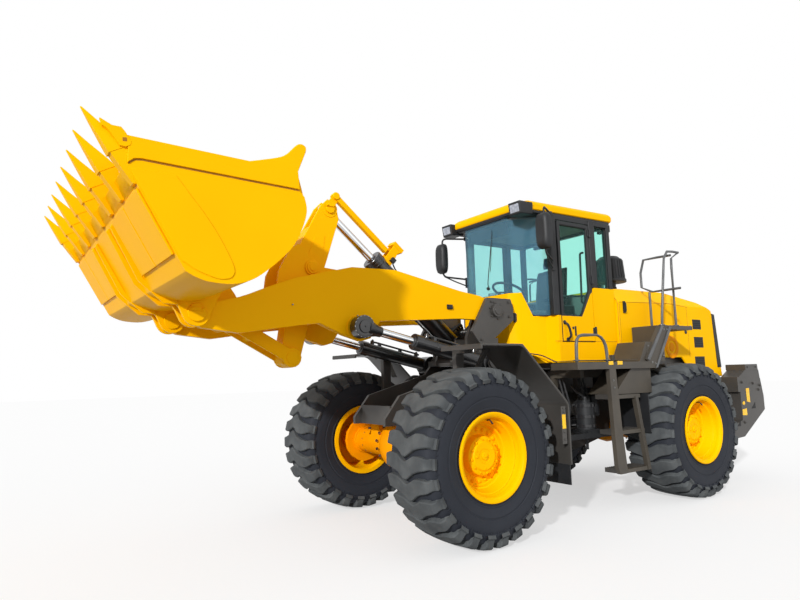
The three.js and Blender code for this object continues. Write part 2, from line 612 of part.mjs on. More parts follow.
function bucketTeeth() {
  const half = BUCKET_Y - SIDE - 0.5;
  const pieces = [plateXZ(
    [edgePoint(-EDGE_DEPTH + 0.5, 0), edgePoint(0, 0), edgePoint(0, 12), edgePoint(-40, 34),
      edgePoint(-EDGE_DEPTH + 0.5, 34)], -half, half)];
  const count = 8;
  const pitch = 2880 / (count - 1);
  for (let i = 0; i < count; i += 1) {
    const y = -1440 + i * pitch;
    const outside = i === 0 ? 1 : 0;
    const tooth = plateXZ([edgePoint(-60, -34), edgePoint(130, -46), edgePoint(403, -64),
      edgePoint(403, -48), edgePoint(120, 66), edgePoint(-60, 70)], y - 45, y + 45);
    pieces.push(outside || i === count - 1
      ? tooth.intersect(box(4000, 5200, -half, half, 2500, 3500)) : tooth);
  }
  return join(...pieces);
}

// ---------------------------------------------------------------- cylinders
// a barrel runs from its foot pin towards the eye; the rod slides out of it
function cylinder(foot, eye, barrelLength, barrelR, rodR, eyeR, footWidth, width = 100) {
  const a = new THREE.Vector3(...foot);
  const b = new THREE.Vector3(...eye);
  const along = b.clone().sub(a).normalize();
  const at = (d) => a.clone().addScaledVector(along, d).toArray();
  const length = a.distanceTo(b);
  return { a, b, at, length, barrelLength, barrelR, rodR, eyeR, footWidth, width };
}

function barrelOf(c, across) {
  const half = c.footWidth / 2;
  const eye = round(
    c.a.clone().addScaledVector(across, -half).toArray(),
    c.a.clone().addScaledVector(across, half).toArray(), c.eyeR, 16);
  const tube = round(c.at(c.eyeR * 0.5), c.at(c.barrelLength), c.barrelR, 16);
  const head = round(c.at(c.barrelLength - 90), c.at(c.barrelLength), c.barrelR + 10, 16);
  const bore = round(c.at(c.eyeR + 30), c.at(c.barrelLength + 10), c.rodR + 4, 12);
  return cut(join(eye, tube, head), bore);
}

function rodOf(c, across, inside) {
  const eye = round(
    c.b.clone().addScaledVector(across, -c.width / 2).toArray(),
    c.b.clone().addScaledVector(across, c.width / 2).toArray(), c.eyeR, 16);
  return join(eye, round(c.at(c.barrelLength - inside), c.at(c.length - c.eyeR * 0.5), c.rodR, 12));
}

const ACROSS = new THREE.Vector3(0, 1, 0);
const UPRIGHT = new THREE.Vector3(0, 0, 1);

// ---------------------------------------------------------------- assembly
wheel('front_left', AXLE_X, 1);
wheel('front_right', AXLE_X, -1);
wheel('rear_left', -AXLE_X, 1);
wheel('rear_right', -AXLE_X, -1);
add('front_axle', axle(AXLE_X, 1300), YELLOW);
add('rear_axle', axle(-AXLE_X, -1300), YELLOW);

add('rear_frame', rearFrame(), DARK);
add('counterweight', counterweight(), DARK);
add('tow_pin', towPin(), DARK);
add('engine_block', box(-2780, -1300, -290, 290, 1180, 2150), DARK);
add('transmission', box(-1150, -520, -240, 240, 760, 1500), DARK);
add('hood', hood(), YELLOW);
add('rear_grille', rearGrille(), BLACK);
add('cab_lower', cabLower(), YELLOW);
add('cab_frame', cabFrame(), BLACK);
add('cab_roof', cabRoof(), YELLOW);
add('windscreen', windscreen(), GLASS);
add('cab_door', door(), YELLOW);
add('door_glass', doorGlass(), GLASS);
add('rear_window', box(-975, -969, -671, 671, NOSE_TOP + 1, ROOF_LOW - 61), GLASS);
add('quarter_window', paneXZ([[-701, NOSE_TOP + 1], [-701, ROOF_LOW - 61], [-939, ROOF_LOW - 61],
  [-939, NOSE_TOP + 1]], 705), GLASS);
add('right_window', paneXZ([[-27, SILL + 2], [-27, ROOF_LOW - 61], [-603, ROOF_LOW - 61], [-603, 2440],
  [-380, SILL + 2]], -705), GLASS);
add('right_quarter_window', paneXZ([[-701, NOSE_TOP + 1], [-701, ROOF_LOW - 61], [-939, ROOF_LOW - 61],
  [-939, NOSE_TOP + 1]], -705), GLASS);
add('seat', seat(), BLACK);
add('steering_column', steeringColumn(), BLACK);
add('platform_left', platform(1), DARK);
add('platform_right', platform(-1), DARK);
add('side_tank_left', sideTank(1), BLACK);
add('side_tank_right', sideTank(-1), BLACK);
add('grab_rail_left', grabRail(1), DARK);
add('grab_rail_right', grabRail(-1), DARK);
add('handrail_left', handrail(1), DARK);
add('handrail_right', handrail(-1), DARK);
add('mirror_left', mirror(1), BLACK);
add('mirror_right', mirror(-1), BLACK);
add('precleaner', precleaner(), BLACK);

add('front_frame', frontFrame(), DARK);
add('boom_tower', boomTower(), DARK);
add('fender_left', fender(1), DARK);
add('fender_right', fender(-1), DARK);
add('boom', boom(), YELLOW);
add('bellcrank', bellcrank(), YELLOW);
add('bucket_link', bucketLink(), YELLOW);
add('bucket_shell', bucketShell(), YELLOW);
add('bucket_teeth', bucketTeeth(), YELLOW);

const tilt = cylinder([TILT_FOOT[0], 0, TILT_FOOT[1]], [CRANK_TOP[0], 0, CRANK_TOP[1]], 1390, 100, 45, 78, 240);
add('tilt_barrel', barrelOf(tilt, ACROSS), BLACK);
add('tilt_rod', rodOf(tilt, ACROSS, 690), CHROME);
for (const [name, s] of [['left', 1], ['right', -1]]) {
  const lift = cylinder([LIFT_FOOT[0], s * LIFT_Y, LIFT_FOOT[1]], [LIFT_EYE[0], s * LIFT_Y, LIFT_EYE[1]],
    960, 72, 42, 105, 180);
  add(`lift_barrel_${name}`, barrelOf(lift, ACROSS), BLACK);
  add(`lift_rod_${name}`, rodOf(lift, ACROSS, 480), CHROME);
  const steer = cylinder([STEER_FOOT[0], s * STEER_FOOT[1], STEER_Z], [STEER_EYE[0], s * STEER_EYE[1], STEER_Z],
    700, 50, 26, 50, 100);
  add(`steer_barrel_${name}`, barrelOf(steer, UPRIGHT), BLACK);
  add(`steer_rod_${name}`, rodOf(steer, UPRIGHT, 330), CHROME);
}

export default machine;
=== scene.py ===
"""Looks of the wheel loader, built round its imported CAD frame.

Lengths in the helpers are millimetres in machine coordinates: +X forward, +Y left, +Z up,
with X and Y zero at the articulation pivot and Z zero on the ground."""

import math

import bmesh
import bpy
from mathutils import Matrix, Vector


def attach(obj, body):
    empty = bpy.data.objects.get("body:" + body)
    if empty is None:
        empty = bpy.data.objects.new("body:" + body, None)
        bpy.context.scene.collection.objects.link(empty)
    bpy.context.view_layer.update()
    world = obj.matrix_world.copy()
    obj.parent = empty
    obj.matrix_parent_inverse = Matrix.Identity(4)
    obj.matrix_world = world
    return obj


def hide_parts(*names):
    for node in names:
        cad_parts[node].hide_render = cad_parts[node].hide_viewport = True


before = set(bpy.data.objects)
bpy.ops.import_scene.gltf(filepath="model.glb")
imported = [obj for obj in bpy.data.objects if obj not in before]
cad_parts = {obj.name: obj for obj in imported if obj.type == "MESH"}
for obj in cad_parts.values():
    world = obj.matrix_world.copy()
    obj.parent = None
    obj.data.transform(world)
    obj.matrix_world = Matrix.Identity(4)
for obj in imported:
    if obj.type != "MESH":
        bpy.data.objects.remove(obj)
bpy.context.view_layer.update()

MIDDLE_X = 616
SCENE = bpy.context.scene


def place(x, y, z):
    """A machine point as a frame point in metres."""
    return Vector(((x - MIDDLE_X) / 1000, y / 1000, z / 1000))


def span(s, a, b):
    """From a to b across the machine, low end first, on the left for s 1 and on the right for s -1."""
    return sorted((s * a, s * b))


SIDES = (("left", 1), ("right", -1))


# ---------------------------------------------------------------- camera
CAMERA_AT = (5298.9, 5381.0, 1507.5)
CAMERA_YAW = math.radians(235.91)
CAMERA_PITCH = math.radians(7.04)
CAMERA_ROLL = math.radians(-1.49)
CAMERA_LENS = 27.27


def make_camera():
    data = bpy.data.cameras.new("camera")
    data.lens = CAMERA_LENS
    data.sensor_width = 36
    data.clip_start = 0.05
    data.clip_end = 200
    camera = bpy.data.objects.new("camera", data)
    SCENE.collection.objects.link(camera)
    level = math.cos(CAMERA_PITCH)
    forward = Vector((level * math.cos(CAMERA_YAW), level * math.sin(CAMERA_YAW), math.sin(CAMERA_PITCH)))
    right = forward.cross(Vector((0, 0, 1))).normalized()
    up = right.cross(forward)
    cosine, sine = math.cos(CAMERA_ROLL), math.sin(CAMERA_ROLL)
    across = cosine * right + sine * up
    over = cosine * up - sine * right
    turn = Matrix((across, over, -forward)).transposed().to_4x4()
    camera.matrix_world = Matrix.Translation(place(*CAMERA_AT)) @ turn
    SCENE.camera = camera


make_camera()
SCENE.view_settings.view_transform = "Standard"


# ---------------------------------------------------------------- materials
def srgb(r, g, b):
    """A colour written as 0-255 display values, in linear light."""
    def linear(v):
        v /= 255
        return v / 12.92 if v <= 0.04045 else ((v + 0.055) / 1.055) ** 2.4
    return (linear(r), linear(g), linear(b), 1.0)


def blank(name):
    """A new material with its nodes, links and shader."""
    mat = bpy.data.materials.new(name)
    mat.use_nodes = True
    nodes = mat.node_tree.nodes
    return mat, nodes, mat.node_tree.links, nodes["Principled BSDF"]


def coarse(nodes, links, coord, scale, detail=3.0, rough=0.5):
    """A noise texture over the object's own coordinates."""
    noise = nodes.new("ShaderNodeTexNoise")
    noise.inputs["Scale"].default_value = scale
    noise.inputs["Detail"].default_value = detail
    noise.inputs["Roughness"].default_value = rough
    links.new(coord, noise.inputs["Vector"])
    return noise


def surface(name, colour, other, roughness, metallic=0.0, patch=1.2, grain=60.0, bump=0.15,
            rough_span=0.08, coat=0.0, spec=0.5):
    """A two-tone mottled surface with a fine bumpy grain and uneven gloss."""
    mat, nodes, links, shader = blank(name)
    coord = nodes.new("ShaderNodeTexCoord").outputs["Object"]
    patches = coarse(nodes, links, coord, patch)
    spread = nodes.new("ShaderNodeMapRange")
    spread.inputs["From Min"].default_value = 0.35
    spread.inputs["From Max"].default_value = 0.65
    links.new(patches.outputs["Fac"], spread.inputs["Value"])
    mix = nodes.new("ShaderNodeMix")
    mix.data_type = "RGBA"
    mix.inputs["A"].default_value = colour
    mix.inputs["B"].default_value = other
    links.new(spread.outputs["Result"], mix.inputs["Factor"])
    links.new(mix.outputs["Result"], shader.inputs["Base Color"])
    fine = coarse(nodes, links, coord, grain, 4.0, 0.6)
    gloss = nodes.new("ShaderNodeMapRange")
    gloss.inputs["To Min"].default_value = roughness - rough_span
    gloss.inputs["To Max"].default_value = roughness + rough_span
    links.new(fine.outputs["Fac"], gloss.inputs["Value"])
    links.new(gloss.outputs["Result"], shader.inputs["Roughness"])
    relief = nodes.new("ShaderNodeBump")
    relief.inputs["Strength"].default_value = bump
    relief.inputs["Distance"].default_value = 0.002
    links.new(fine.outputs["Fac"], relief.inputs["Height"])
    links.new(relief.outputs["Normal"], shader.inputs["Normal"])
    shader.inputs["Metallic"].default_value = metallic
    shader.inputs["Coat Weight"].default_value = coat
    shader.inputs["Coat Roughness"].default_value = 0.08
    shader.inputs["Specular IOR Level"].default_value = spec
    return mat


def glass(name, tint, body, share):
    """Pane that tints the light behind it and dulls a share of it with its own colour."""
    mat, nodes, links, shader = blank(name)
    shader.inputs["Base Color"].default_value = body
    shader.inputs["Roughness"].default_value = 0.04
    shader.inputs["Specular IOR Level"].default_value = 0.8
    clear = nodes.new("ShaderNodeBsdfTransparent")
    clear.inputs["Color"].default_value = tint
    coord = nodes.new("ShaderNodeTexCoord").outputs["Object"]
    haze = coarse(nodes, links, coord, 3.0)
    level = nodes.new("ShaderNodeMapRange")
    level.inputs["To Min"].default_value = share * 0.7
    level.inputs["To Max"].default_value = share * 1.3
    links.new(haze.outputs["Fac"], level.inputs["Value"])
    mix = nodes.new("ShaderNodeMixShader")
    links.new(level.outputs["Result"], mix.inputs[0])
    links.new(clear.outputs["BSDF"], mix.inputs[1])
    links.new(shader.outputs["BSDF"], mix.inputs[2])
    links.new(mix.outputs["Shader"], nodes["Material Output"].inputs["Surface"])
    return mat


PAINT = surface("paint_yellow", srgb(255, 190, 0), srgb(254, 184, 0), 0.4, patch=0.9, grain=260,
                bump=0.04, spec=0.03)
# deeper orange of the axles, also used as painted shade on the hood's embossed ring
AXLE_PAINT_AND_RING_SHADE = surface("paint_axle_and_ring_shade", srgb(250, 160, 0), srgb(242, 146, 0), 0.45, patch=3, grain=150, bump=0.08,
                     spec=0.05)
DARK = surface("paint_dark", srgb(66, 63, 60), srgb(57, 55, 52), 0.42, patch=2.5, grain=220, bump=0.06)
DECK = surface("paint_deck", srgb(72, 66, 57), srgb(62, 57, 50), 0.5, patch=3.5, grain=160, bump=0.1)
RAIL = surface("paint_rail", srgb(92, 93, 94), srgb(78, 79, 80), 0.4, patch=6, grain=200, bump=0.05)
BLACK = surface("trim_black", srgb(26, 27, 29), srgb(34, 35, 37), 0.5, patch=5, grain=300, bump=0.12,
                spec=0.35)
CYLINDER = surface("cylinder_black", srgb(22, 22, 24), srgb(30, 30, 32), 0.3, patch=4, grain=220,
                   bump=0.04, coat=0.3)
# near-black rubber for seals and mats, also used as painted shade in the hood's intake openings and the
# counterweight pockets
RUBBER_AND_SHADE = surface("rubber_black_and_painted_shade", srgb(14, 14, 15), srgb(20, 20, 21), 0.7, patch=8, grain=300, bump=0.1)
HOSE = surface("hose_black", srgb(20, 20, 21), srgb(28, 28, 29), 0.6, patch=20, grain=500, bump=0.3)
CHROME = surface("rod_chrome", srgb(214, 216, 218), srgb(200, 203, 206), 0.12, metallic=1.0, patch=4,
                 grain=120, bump=0.01, rough_span=0.04)
STEEL = surface("bolt_steel", srgb(150, 150, 148), srgb(120, 120, 118), 0.35, metallic=0.9, patch=12,
                grain=300, bump=0.1)
TYRE = surface("tyre_rubber", srgb(34, 37, 44), srgb(42, 45, 52), 0.7, patch=2.0, grain=110, bump=0.3,
               spec=0.25)
TREAD = surface("tread_rubber", srgb(70, 73, 75), srgb(86, 89, 90), 0.85, patch=7.0, grain=60, bump=0.5,
                spec=0.2)
GLASS = glass("glass_tinted", (0.80, 1.0, 0.96, 1), srgb(120, 150, 150), 0.05)
SCREEN_GLASS = glass("glass_screen", (0.84, 1.0, 0.98, 1), srgb(110, 158, 190), 0.2)
LENS = surface("lens_clear", srgb(140, 146, 158), srgb(172, 178, 190), 0.1, patch=30, grain=90, bump=0.3,
               spec=0.8)
# dark orange for panel gaps, also used as painted shade: the shadow strips and corner-leg hole on the
# bucket, and the cab crease
SEAM_AND_SHADE = surface("gap_and_painted_shade", srgb(172, 112, 8), srgb(158, 102, 6), 0.8, patch=6, grain=200, bump=0.1)
AMBER = surface("lens_amber", srgb(240, 120, 10), srgb(220, 96, 6), 0.15, patch=20, grain=60, bump=0.2)
RED = surface("lens_red", srgb(176, 16, 14), srgb(150, 10, 10), 0.15, patch=20, grain=60, bump=0.2)
MIRROR = surface("mirror_glass", srgb(200, 208, 214), srgb(190, 198, 206), 0.04, metallic=1.0, patch=2,
                 grain=20, bump=0.0, rough_span=0.01)
REFLECTOR = surface("reflector_yellow", srgb(255, 205, 20), srgb(245, 185, 10), 0.25, patch=30, grain=500,
                    bump=0.4)
HEADLINER = surface("lining_grey", srgb(126, 126, 124), srgb(112, 112, 110), 0.85, patch=4, grain=400,
                    bump=0.3)


def weave(name, colour, other):
    """Woven cloth: two crossed wave patterns over a mottled colour."""
    mat = surface(name, colour, other, 0.88, patch=9, grain=300, bump=0.2)
    nodes, links = mat.node_tree.nodes, mat.node_tree.links
    shader = nodes["Principled BSDF"]
    shader.inputs["Sheen Weight"].default_value = 0.25
    coord = nodes.new("ShaderNodeTexCoord").outputs["Object"]
    height = nodes.new("ShaderNodeMath")
    height.operation = "MAXIMUM"
    for i, direction in enumerate(("X", "Y")):
        wave = nodes.new("ShaderNodeTexWave")
        wave.bands_direction = direction
        wave.inputs["Scale"].default_value = 90
        links.new(coord, wave.inputs["Vector"])
        links.new(wave.outputs["Fac"], height.inputs[i])
    relief = nodes.new("ShaderNodeBump")
    relief.inputs["Strength"].default_value = 0.4
    relief.inputs["Distance"].default_value = 0.002
    links.new(height.outputs["Value"], relief.inputs["Height"])
    links.new(relief.outputs["Normal"], shader.inputs["Normal"])
    return mat


FABRIC = weave("seat_fabric", srgb(44, 46, 50), srgb(56, 58, 62))

# ---------------------------------------------------------------- pieces in mesh code
SMOOTH_ANGLE = math.radians(34)


class Piece:
    """Closed forms collected into one mesh, in machine millimetres."""

    def __init__(self):
        self.mesh = bmesh.new()

    def box(self, x0, x1, y0, y1, z0, z1):
        return self.floor([(x0, y0), (x1, y0), (x1, y1), (x0, y1)], z0, z1)

    def slab(self, first, second):
        """Two matching outlines joined by a wall."""
        bm = self.mesh
        low = [bm.verts.new(p) for p in first]
        high = [bm.verts.new(p) for p in second]
        faces = [bm.faces.new(low), bm.faces.new(high[::-1])]
        for i in range(len(low)):
            j = (i + 1) % len(low)
            faces.append(bm.faces.new((low[j], low[i], high[i], high[j])))
        bmesh.ops.recalc_face_normals(bm, faces=faces)
        return self

    def plate(self, outline, y0, y1):
        """Outline in X and Z, from y0 to y1."""
        return self.slab([(x, y0, z) for x, z in outline], [(x, y1, z) for x, z in outline])

    def floor(self, outline, z0, z1):
        """Outline in X and Y, from z0 to z1."""
        return self.slab([(x, y, z0) for x, y in outline], [(x, y, z1) for x, y in outline])

    def taper(self, low, high):
        """Block from one level rectangle to another, each given as (x0, x1, y0, y1, z)."""
        return self.slab(*([(x0, y0, z), (x1, y0, z), (x1, y1, z), (x0, y1, z)]
                           for x0, x1, y0, y1, z in (low, high)))

    def turned(self, profile, at, axis, sides=32, closed=False):
        """Profile of (along, radius) turned about an axis through at."""
        bm = self.mesh
        axis = Vector(axis).normalized()
        turn = Vector((0, 0, 1)).rotation_difference(axis)
        at = Vector(at)
        rings = []
        for along, radius in profile:
            if radius < 1e-6:
                rings.append([bm.verts.new(at + turn @ Vector((0, 0, along)))])
                continue
            ring = []
            for i in range(sides):
                a = 2 * math.pi * i / sides
                spoke = Vector((radius * math.cos(a), radius * math.sin(a), along))
                ring.append(bm.verts.new(at + turn @ spoke))
            rings.append(ring)
        faces = []
        pairs = list(zip(rings, rings[1:]))
        if closed:
            pairs.append((rings[-1], rings[0]))
        for a, b in pairs:
            if len(a) == 1 and len(b) == 1:
                continue
            for i in range(sides):
                j = (i + 1) % sides
                if len(a) == 1:
                    faces.append(bm.faces.new((a[0], b[i], b[j])))
                elif len(b) == 1:
                    faces.append(bm.faces.new((a[i], b[0], a[j])))
                else:
                    faces.append(bm.faces.new((a[i], b[i], b[j], a[j])))
        if not closed:
            for ring in (rings[0], rings[-1]):
                if len(ring) > 1:
                    faces.append(bm.faces.new(ring))
        bmesh.ops.recalc_face_normals(bm, faces=faces)
        return self

    def rod(self, a, b, radius, end_radius=None, sides=16):
        """Straight round bar, tapered where end_radius differs."""
        a, b = Vector(a), Vector(b)
        end = radius if end_radius is None else end_radius
        return self.turned([(0, radius), ((b - a).length, end)], a, b - a, sides)

    def knob(self, a, b, radius, edge=3, sides=20):
        """Round bar with softened ends."""
        a, b = Vector(a), Vector(b)
        length = (b - a).length
        return self.turned([(0, 0), (0, radius - edge), (edge * 0.3, radius - edge * 0.3), (edge, radius),
                            (length - edge, radius), (length - edge * 0.3, radius - edge * 0.3),
                            (length, radius - edge), (length, 0)], a, b - a, sides)

    def bolt(self, at, axis, size=24, washer=True):
        """Hexagon head with a washer and a short threaded end, seated at a point."""
        at, axis = Vector(at), Vector(axis).normalized()
        if washer:
            self.rod(at, at + axis * size * 0.14, size * 0.95, sides=16)
        base = at + axis * size * 0.12
        head = [(0, 0.78), (0.5, 0.78), (0.6, 0.62), (0.6, 0)]
        self.turned([(size * along, size * radius) for along, radius in head], base, axis, 6)
        return self.rod(base + axis * size * 0.55, base + axis * size * 0.85, size * 0.4, size * 0.34, 10)

    def circle(self, at, axis, radius, count, size=24, start=0.0, washer=True):
        """Bolts on a circle."""
        axis = Vector(axis).normalized()
        turn = Vector((0, 0, 1)).rotation_difference(axis)
        for i in range(count):
            a = start + 2 * math.pi * i / count
            spoke = turn @ Vector((radius * math.cos(a), radius * math.sin(a), 0))
            self.bolt(Vector(at) + spoke, axis, size, washer)
        return self

    def loft(self, loops):
        """Closed skin through matching loops, with flat ends."""
        bm = self.mesh
        rings = [[bm.verts.new(p) for p in loop] for loop in loops]
        faces = [bm.faces.new(rings[0]), bm.faces.new(rings[-1])]
        for a, b in zip(rings, rings[1:]):
            for k in range(len(a)):
                j = (k + 1) % len(a)
                faces.append(bm.faces.new((a[k], a[j], b[j], b[k])))
        bmesh.ops.recalc_face_normals(bm, faces=faces)
        return self

    def tube(self, points, radius, bend=60, sides=10, closed=False):
        """Round tube along points with rounded corners."""
        path = rounded(points, bend, closed)
        bm = self.mesh
        rings, side = [], None
        count = len(path)
        for i, p in enumerate(path):
            before = path[i - 1] if i or closed else p
            after = path[(i + 1) % count] if i < count - 1 or closed else p
            along = (after - before).normalized()
            if side is None:
                side = along.orthogonal().normalized()
            side = (side - along * side.dot(along)).normalized()
            other = along.cross(side)
            rings.append([bm.verts.new(p + radius * (math.cos(t) * side + math.sin(t) * other))
                          for t in (2 * math.pi * k / sides for k in range(sides))])
        faces = []
        pairs = list(zip(rings, rings[1:]))
        for a, b in pairs:
            for k in range(sides):
                j = (k + 1) % sides
                faces.append(bm.faces.new((a[k], b[k], b[j], a[j])))
        if not closed:
            faces.extend((bm.faces.new(rings[0]), bm.faces.new(rings[-1])))
        bmesh.ops.recalc_face_normals(bm, faces=faces)
        return self

    def mirror(self):
        """Adds the same forms on the other side of the machine."""
        bm = self.mesh
        copy = bmesh.ops.duplicate(bm, geom=bm.verts[:] + bm.edges[:] + bm.faces[:])["geom"]
        verts = [g for g in copy if isinstance(g, bmesh.types.BMVert)]
        faces = [g for g in copy if isinstance(g, bmesh.types.BMFace)]
        for v in verts:
            v.co.y = -v.co.y
        bmesh.ops.reverse_faces(bm, faces=faces)
        return self

    def done(self, name, mat, body, bevel=0.0, replaces=(), segments=2):
        """The finished object, riding on its body."""
        bm = self.mesh
        for v in bm.verts:
            v.co = place(*v.co)
        data = bpy.data.meshes.new(name)
        bm.to_mesh(data)
        bm.free()
        return finished(name, data, mat, body, bevel, replaces, segments)


def finished(name, data, mat, body, bevel=0.0, replaces=(), segments=2):
    """A piece made from mesh data, with its material, riding on its body."""
    obj = bpy.data.objects.new(name, data)
    SCENE.collection.objects.link(obj)
    data.materials.append(mat)
    data.polygons.foreach_set("use_smooth", [True] * len(data.polygons))
    data.set_sharp_from_angle(angle=SMOOTH_ANGLE)
    soften(obj, bevel, segments)
    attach(obj, body)
    if replaces:
        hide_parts(*replaces)
    return obj


def soften(obj, bevel, segments=2):
    """Rounded edges bevel millimetres wide, with flat faces kept flat."""
    if bevel:
        mod = obj.modifiers.new("edges", "BEVEL")
        mod.width = bevel / 1000
        mod.segments = segments
        mod.limit_method = "ANGLE"
        mod.angle_limit = SMOOTH_ANGLE
        mod.use_clamp_overlap = True
        mod.miter_outer = "MITER_ARC"
    mod = obj.modifiers.new("shade", "WEIGHTED_NORMAL")
    mod.keep_sharp = True
    mod.weight = 80


def rounded(points, bend, closed=False, steps=5):
    """The points with each corner turned into a short curve."""
    points = [Vector(p) for p in points]
    count = len(points)
    path = []
    for i, p in enumerate(points):
        if not closed and i in (0, count - 1):
            path.append(p)
            continue
        before, after = points[i - 1] - p, points[(i + 1) % count] - p
        reach = min(bend, before.length / 2.05, after.length / 2.05)
        a, b = p + before.normalized() * reach, p + after.normalized() * reach
        for k in range(steps + 1):
            t = k / steps
            path.append((1 - t) ** 2 * a + 2 * t * (1 - t) * p + t * t * b)
    return path


def curve(points, steps=8):
    """A smooth line through the points."""
    points = [Vector(p) for p in points]
    line = []
    for i in range(len(points) - 1):
        p0, p1 = points[max(i - 1, 0)], points[i]
        p2, p3 = points[i + 1], points[min(i + 2, len(points) - 1)]
        for k in range(steps):
            t = k / steps
            line.append(0.5 * (2 * p1 + (p2 - p0) * t + (2 * p0 - 5 * p1 + 4 * p2 - p3) * t * t
                               + (3 * p1 - p0 - 3 * p2 + p3) * t ** 3))
    line.append(points[-1])
    return line


# ---------------------------------------------------------------- CAD nodes that stay
# by material, each with the width of its rounded edges
NODE_LOOKS = {
    PAINT: {"hood": 14, "cab_lower": 10, "boom": 6, "bellcrank": 7, "bucket_link": 6},
    AXLE_PAINT_AND_RING_SHADE: {"front_axle": 8, "rear_axle": 8},
    DARK: {"front_frame": 5, "rear_frame": 5, "boom_tower": 5, "fender_left": 3, "fender_right": 3,
           "counterweight": 22, "engine_block": 15, "transmission": 15},
    DECK: {"platform_left": 4, "platform_right": 4},
    RAIL: {"handrail_left": 0, "handrail_right": 0, "grab_rail_left": 0, "grab_rail_right": 0},
    BLACK: {"cab_frame": 8, "cab_door": 5, "rear_grille": 6, "precleaner": 5, "side_tank_left": 6,
            "side_tank_right": 6},
    SCREEN_GLASS: {"windscreen": 0},
    GLASS: {"door_glass": 0, "rear_window": 0, "quarter_window": 0, "right_window": 0,
            "right_quarter_window": 0},
    CYLINDER: {"tilt_barrel": 4, "lift_barrel_left": 4, "lift_barrel_right": 4, "steer_barrel_left": 3,
               "steer_barrel_right": 3},
    CHROME: {"tilt_rod": 2, "lift_rod_left": 2, "lift_rod_right": 2, "steer_rod_left": 2,
             "steer_rod_right": 2},
    STEEL: {"tow_pin": 3},
}
WELD = 0.0002
FLAT = math.radians(0.6)


def dress(node, mat, bevel):
    """Material and rounded edges on a CAD node, whose own mesh stays as it is."""
    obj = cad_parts[node]
    obj.data.materials.clear()
    obj.data.materials.append(mat)
    for layer in ("custom_normal", "sharp_edge", "sharp_face"):
        if layer in obj.data.attributes:
            obj.data.attributes.remove(obj.data.attributes[layer])
    obj.data.polygons.foreach_set("use_smooth", [True] * len(obj.data.polygons))
    weld = obj.modifiers.new("weld", "WELD")
    weld.merge_threshold = WELD
    flat = obj.modifiers.new("flat", "DECIMATE")
    flat.decimate_type = "DISSOLVE"
    flat.angle_limit = FLAT
    soften(obj, bevel)


for node_mat, nodes_of_mat in NODE_LOOKS.items():
    for node_name, node_bevel in nodes_of_mat.items():
        dress(node_name, node_mat, node_bevel)


# ---------------------------------------------------------------- wheels
AXLE_X = 1650
WHEEL_Y = 1100
TYRE_R = 780
LUGS = 26
LUG_DEPTH = 40
RIDGES = 52
# outer section of the lugs: (offset across the tyre, radius) from the sidewall to the crown
LUG_SECTION = [(288, 640), (291, 668), (291, 700), (286, 730), (274, 752), (255, 765), (200, 773),
               (140, 777), (80, 779), (40, 780)]
# how far a lug leads round the tyre, as a share of the pitch, by offset across it
LUG_LEAD = [(-295, 0.05), (-190, 0.10), (-75, -0.02), (-45, -0.12), (20, -0.36), (140, -0.02),
            (220, 0.06), (295, 0.04)]
# half width of a lug as a share of the pitch
LUG_HALF = [(-295, 0.24), (-250, 0.30), (-150, 0.37), (0, 0.41), (150, 0.37), (250, 0.30), (295, 0.24)]


def between(table, x):
    """The table's value at x, on straight lines between its rows."""
    for (x0, a), (x1, b) in zip(table, table[1:]):
        if x <= x1:
            return a + (b - a) * (x - x0) / (x1 - x0)
    return table[-1][1]


def tyre_mesh():
    """Carcass with ribbed sidewalls and zigzag traction lugs, about the Y axis, outer face to +Y."""
    piece = Piece()
    half = [(0, 741), (80, 740), (150, 737), (210, 730), (248, 716), (268, 694), (276, 668), (284, 655),
            (286, 640), (281, 632), (289, 606), (291, 570), (289, 520), (283, 516), (283, 506), (287, 500),
            (279, 456), (270, 424), (274, 418), (272, 408), (264, 402), (258, 380), (252, 352), (240, 337)]
    profile = half[::-1] + [(-y, r) for y, r in half[1:]]
    profile += [(-200, 336), (200, 336)]
    piece.turned(profile, (0, 0, 0), (0, 1, 0), 104, closed=True)
    section = LUG_SECTION + [(0, 780)] + [(-y, r) for y, r in LUG_SECTION[::-1]]
    pitch = 2 * math.pi / LUGS
    bm = piece.mesh
    count = len(section)
    inward = []
    for i in range(count):
        y0, r0 = section[max(i - 1, 0)]
        y1, r1 = section[min(i + 1, count - 1)]
        n = Vector((r1 - r0, y0 - y1)).normalized()
        inward.append(-n if n.y > 0 else n)
    for lug in range(LUGS):
        strips = []
        for i, (y, r) in enumerate(section):
            lead = (lug + between(LUG_LEAD, y)) * pitch
            wide = between(LUG_HALF, y) * pitch
            edge = min(i, count - 1 - i)
            depth = (10, 20, 34)[edge] if edge < 3 else LUG_DEPTH + 6
            soft = 9 / r
            ring = []
            for turn, sink in ((-wide - 5 / r, depth), (-wide, 7), (-wide + soft, 0), (wide - soft, 0),
                               (wide, 7), (wide + 5 / r, depth)):
                yy = y + inward[i].x * sink
                rr = r + inward[i].y * sink
                a = lead + turn
                ring.append(bm.verts.new((rr * math.cos(a), yy, rr * math.sin(a))))
            strips.append(ring)
        faces = []
        for a, b in zip(strips, strips[1:]):
            for k in range(len(a)):
                j = (k + 1) % len(a)
                faces.append(bm.faces.new((a[k], a[j], b[j], b[k])))
        faces.append(bm.faces.new(strips[0]))
        faces.append(bm.faces.new(strips[-1]))
        bmesh.ops.recalc_face_normals(bm, faces=faces)
        for face in faces:
            face.material_index = 1
    # moulded ridges round both sidewalls
    for i in range(RIDGES):
        a = 2 * math.pi * i / RIDGES
        for side in (1, -1):
            spoke = Vector((math.cos(a), 0, math.sin(a)))
            across = Vector((-math.sin(a), 0, math.cos(a)))
            low, high = spoke * 618, spoke * 652
            ridge = [low - across * 5, high - across * 5, high + across * 5, low + across * 5]
            piece.slab([p + Vector((0, side * 278, 0)) for p in ridge],
                       [p + Vector((0, side * 291.5, 0)) for p in ridge])
    return piece


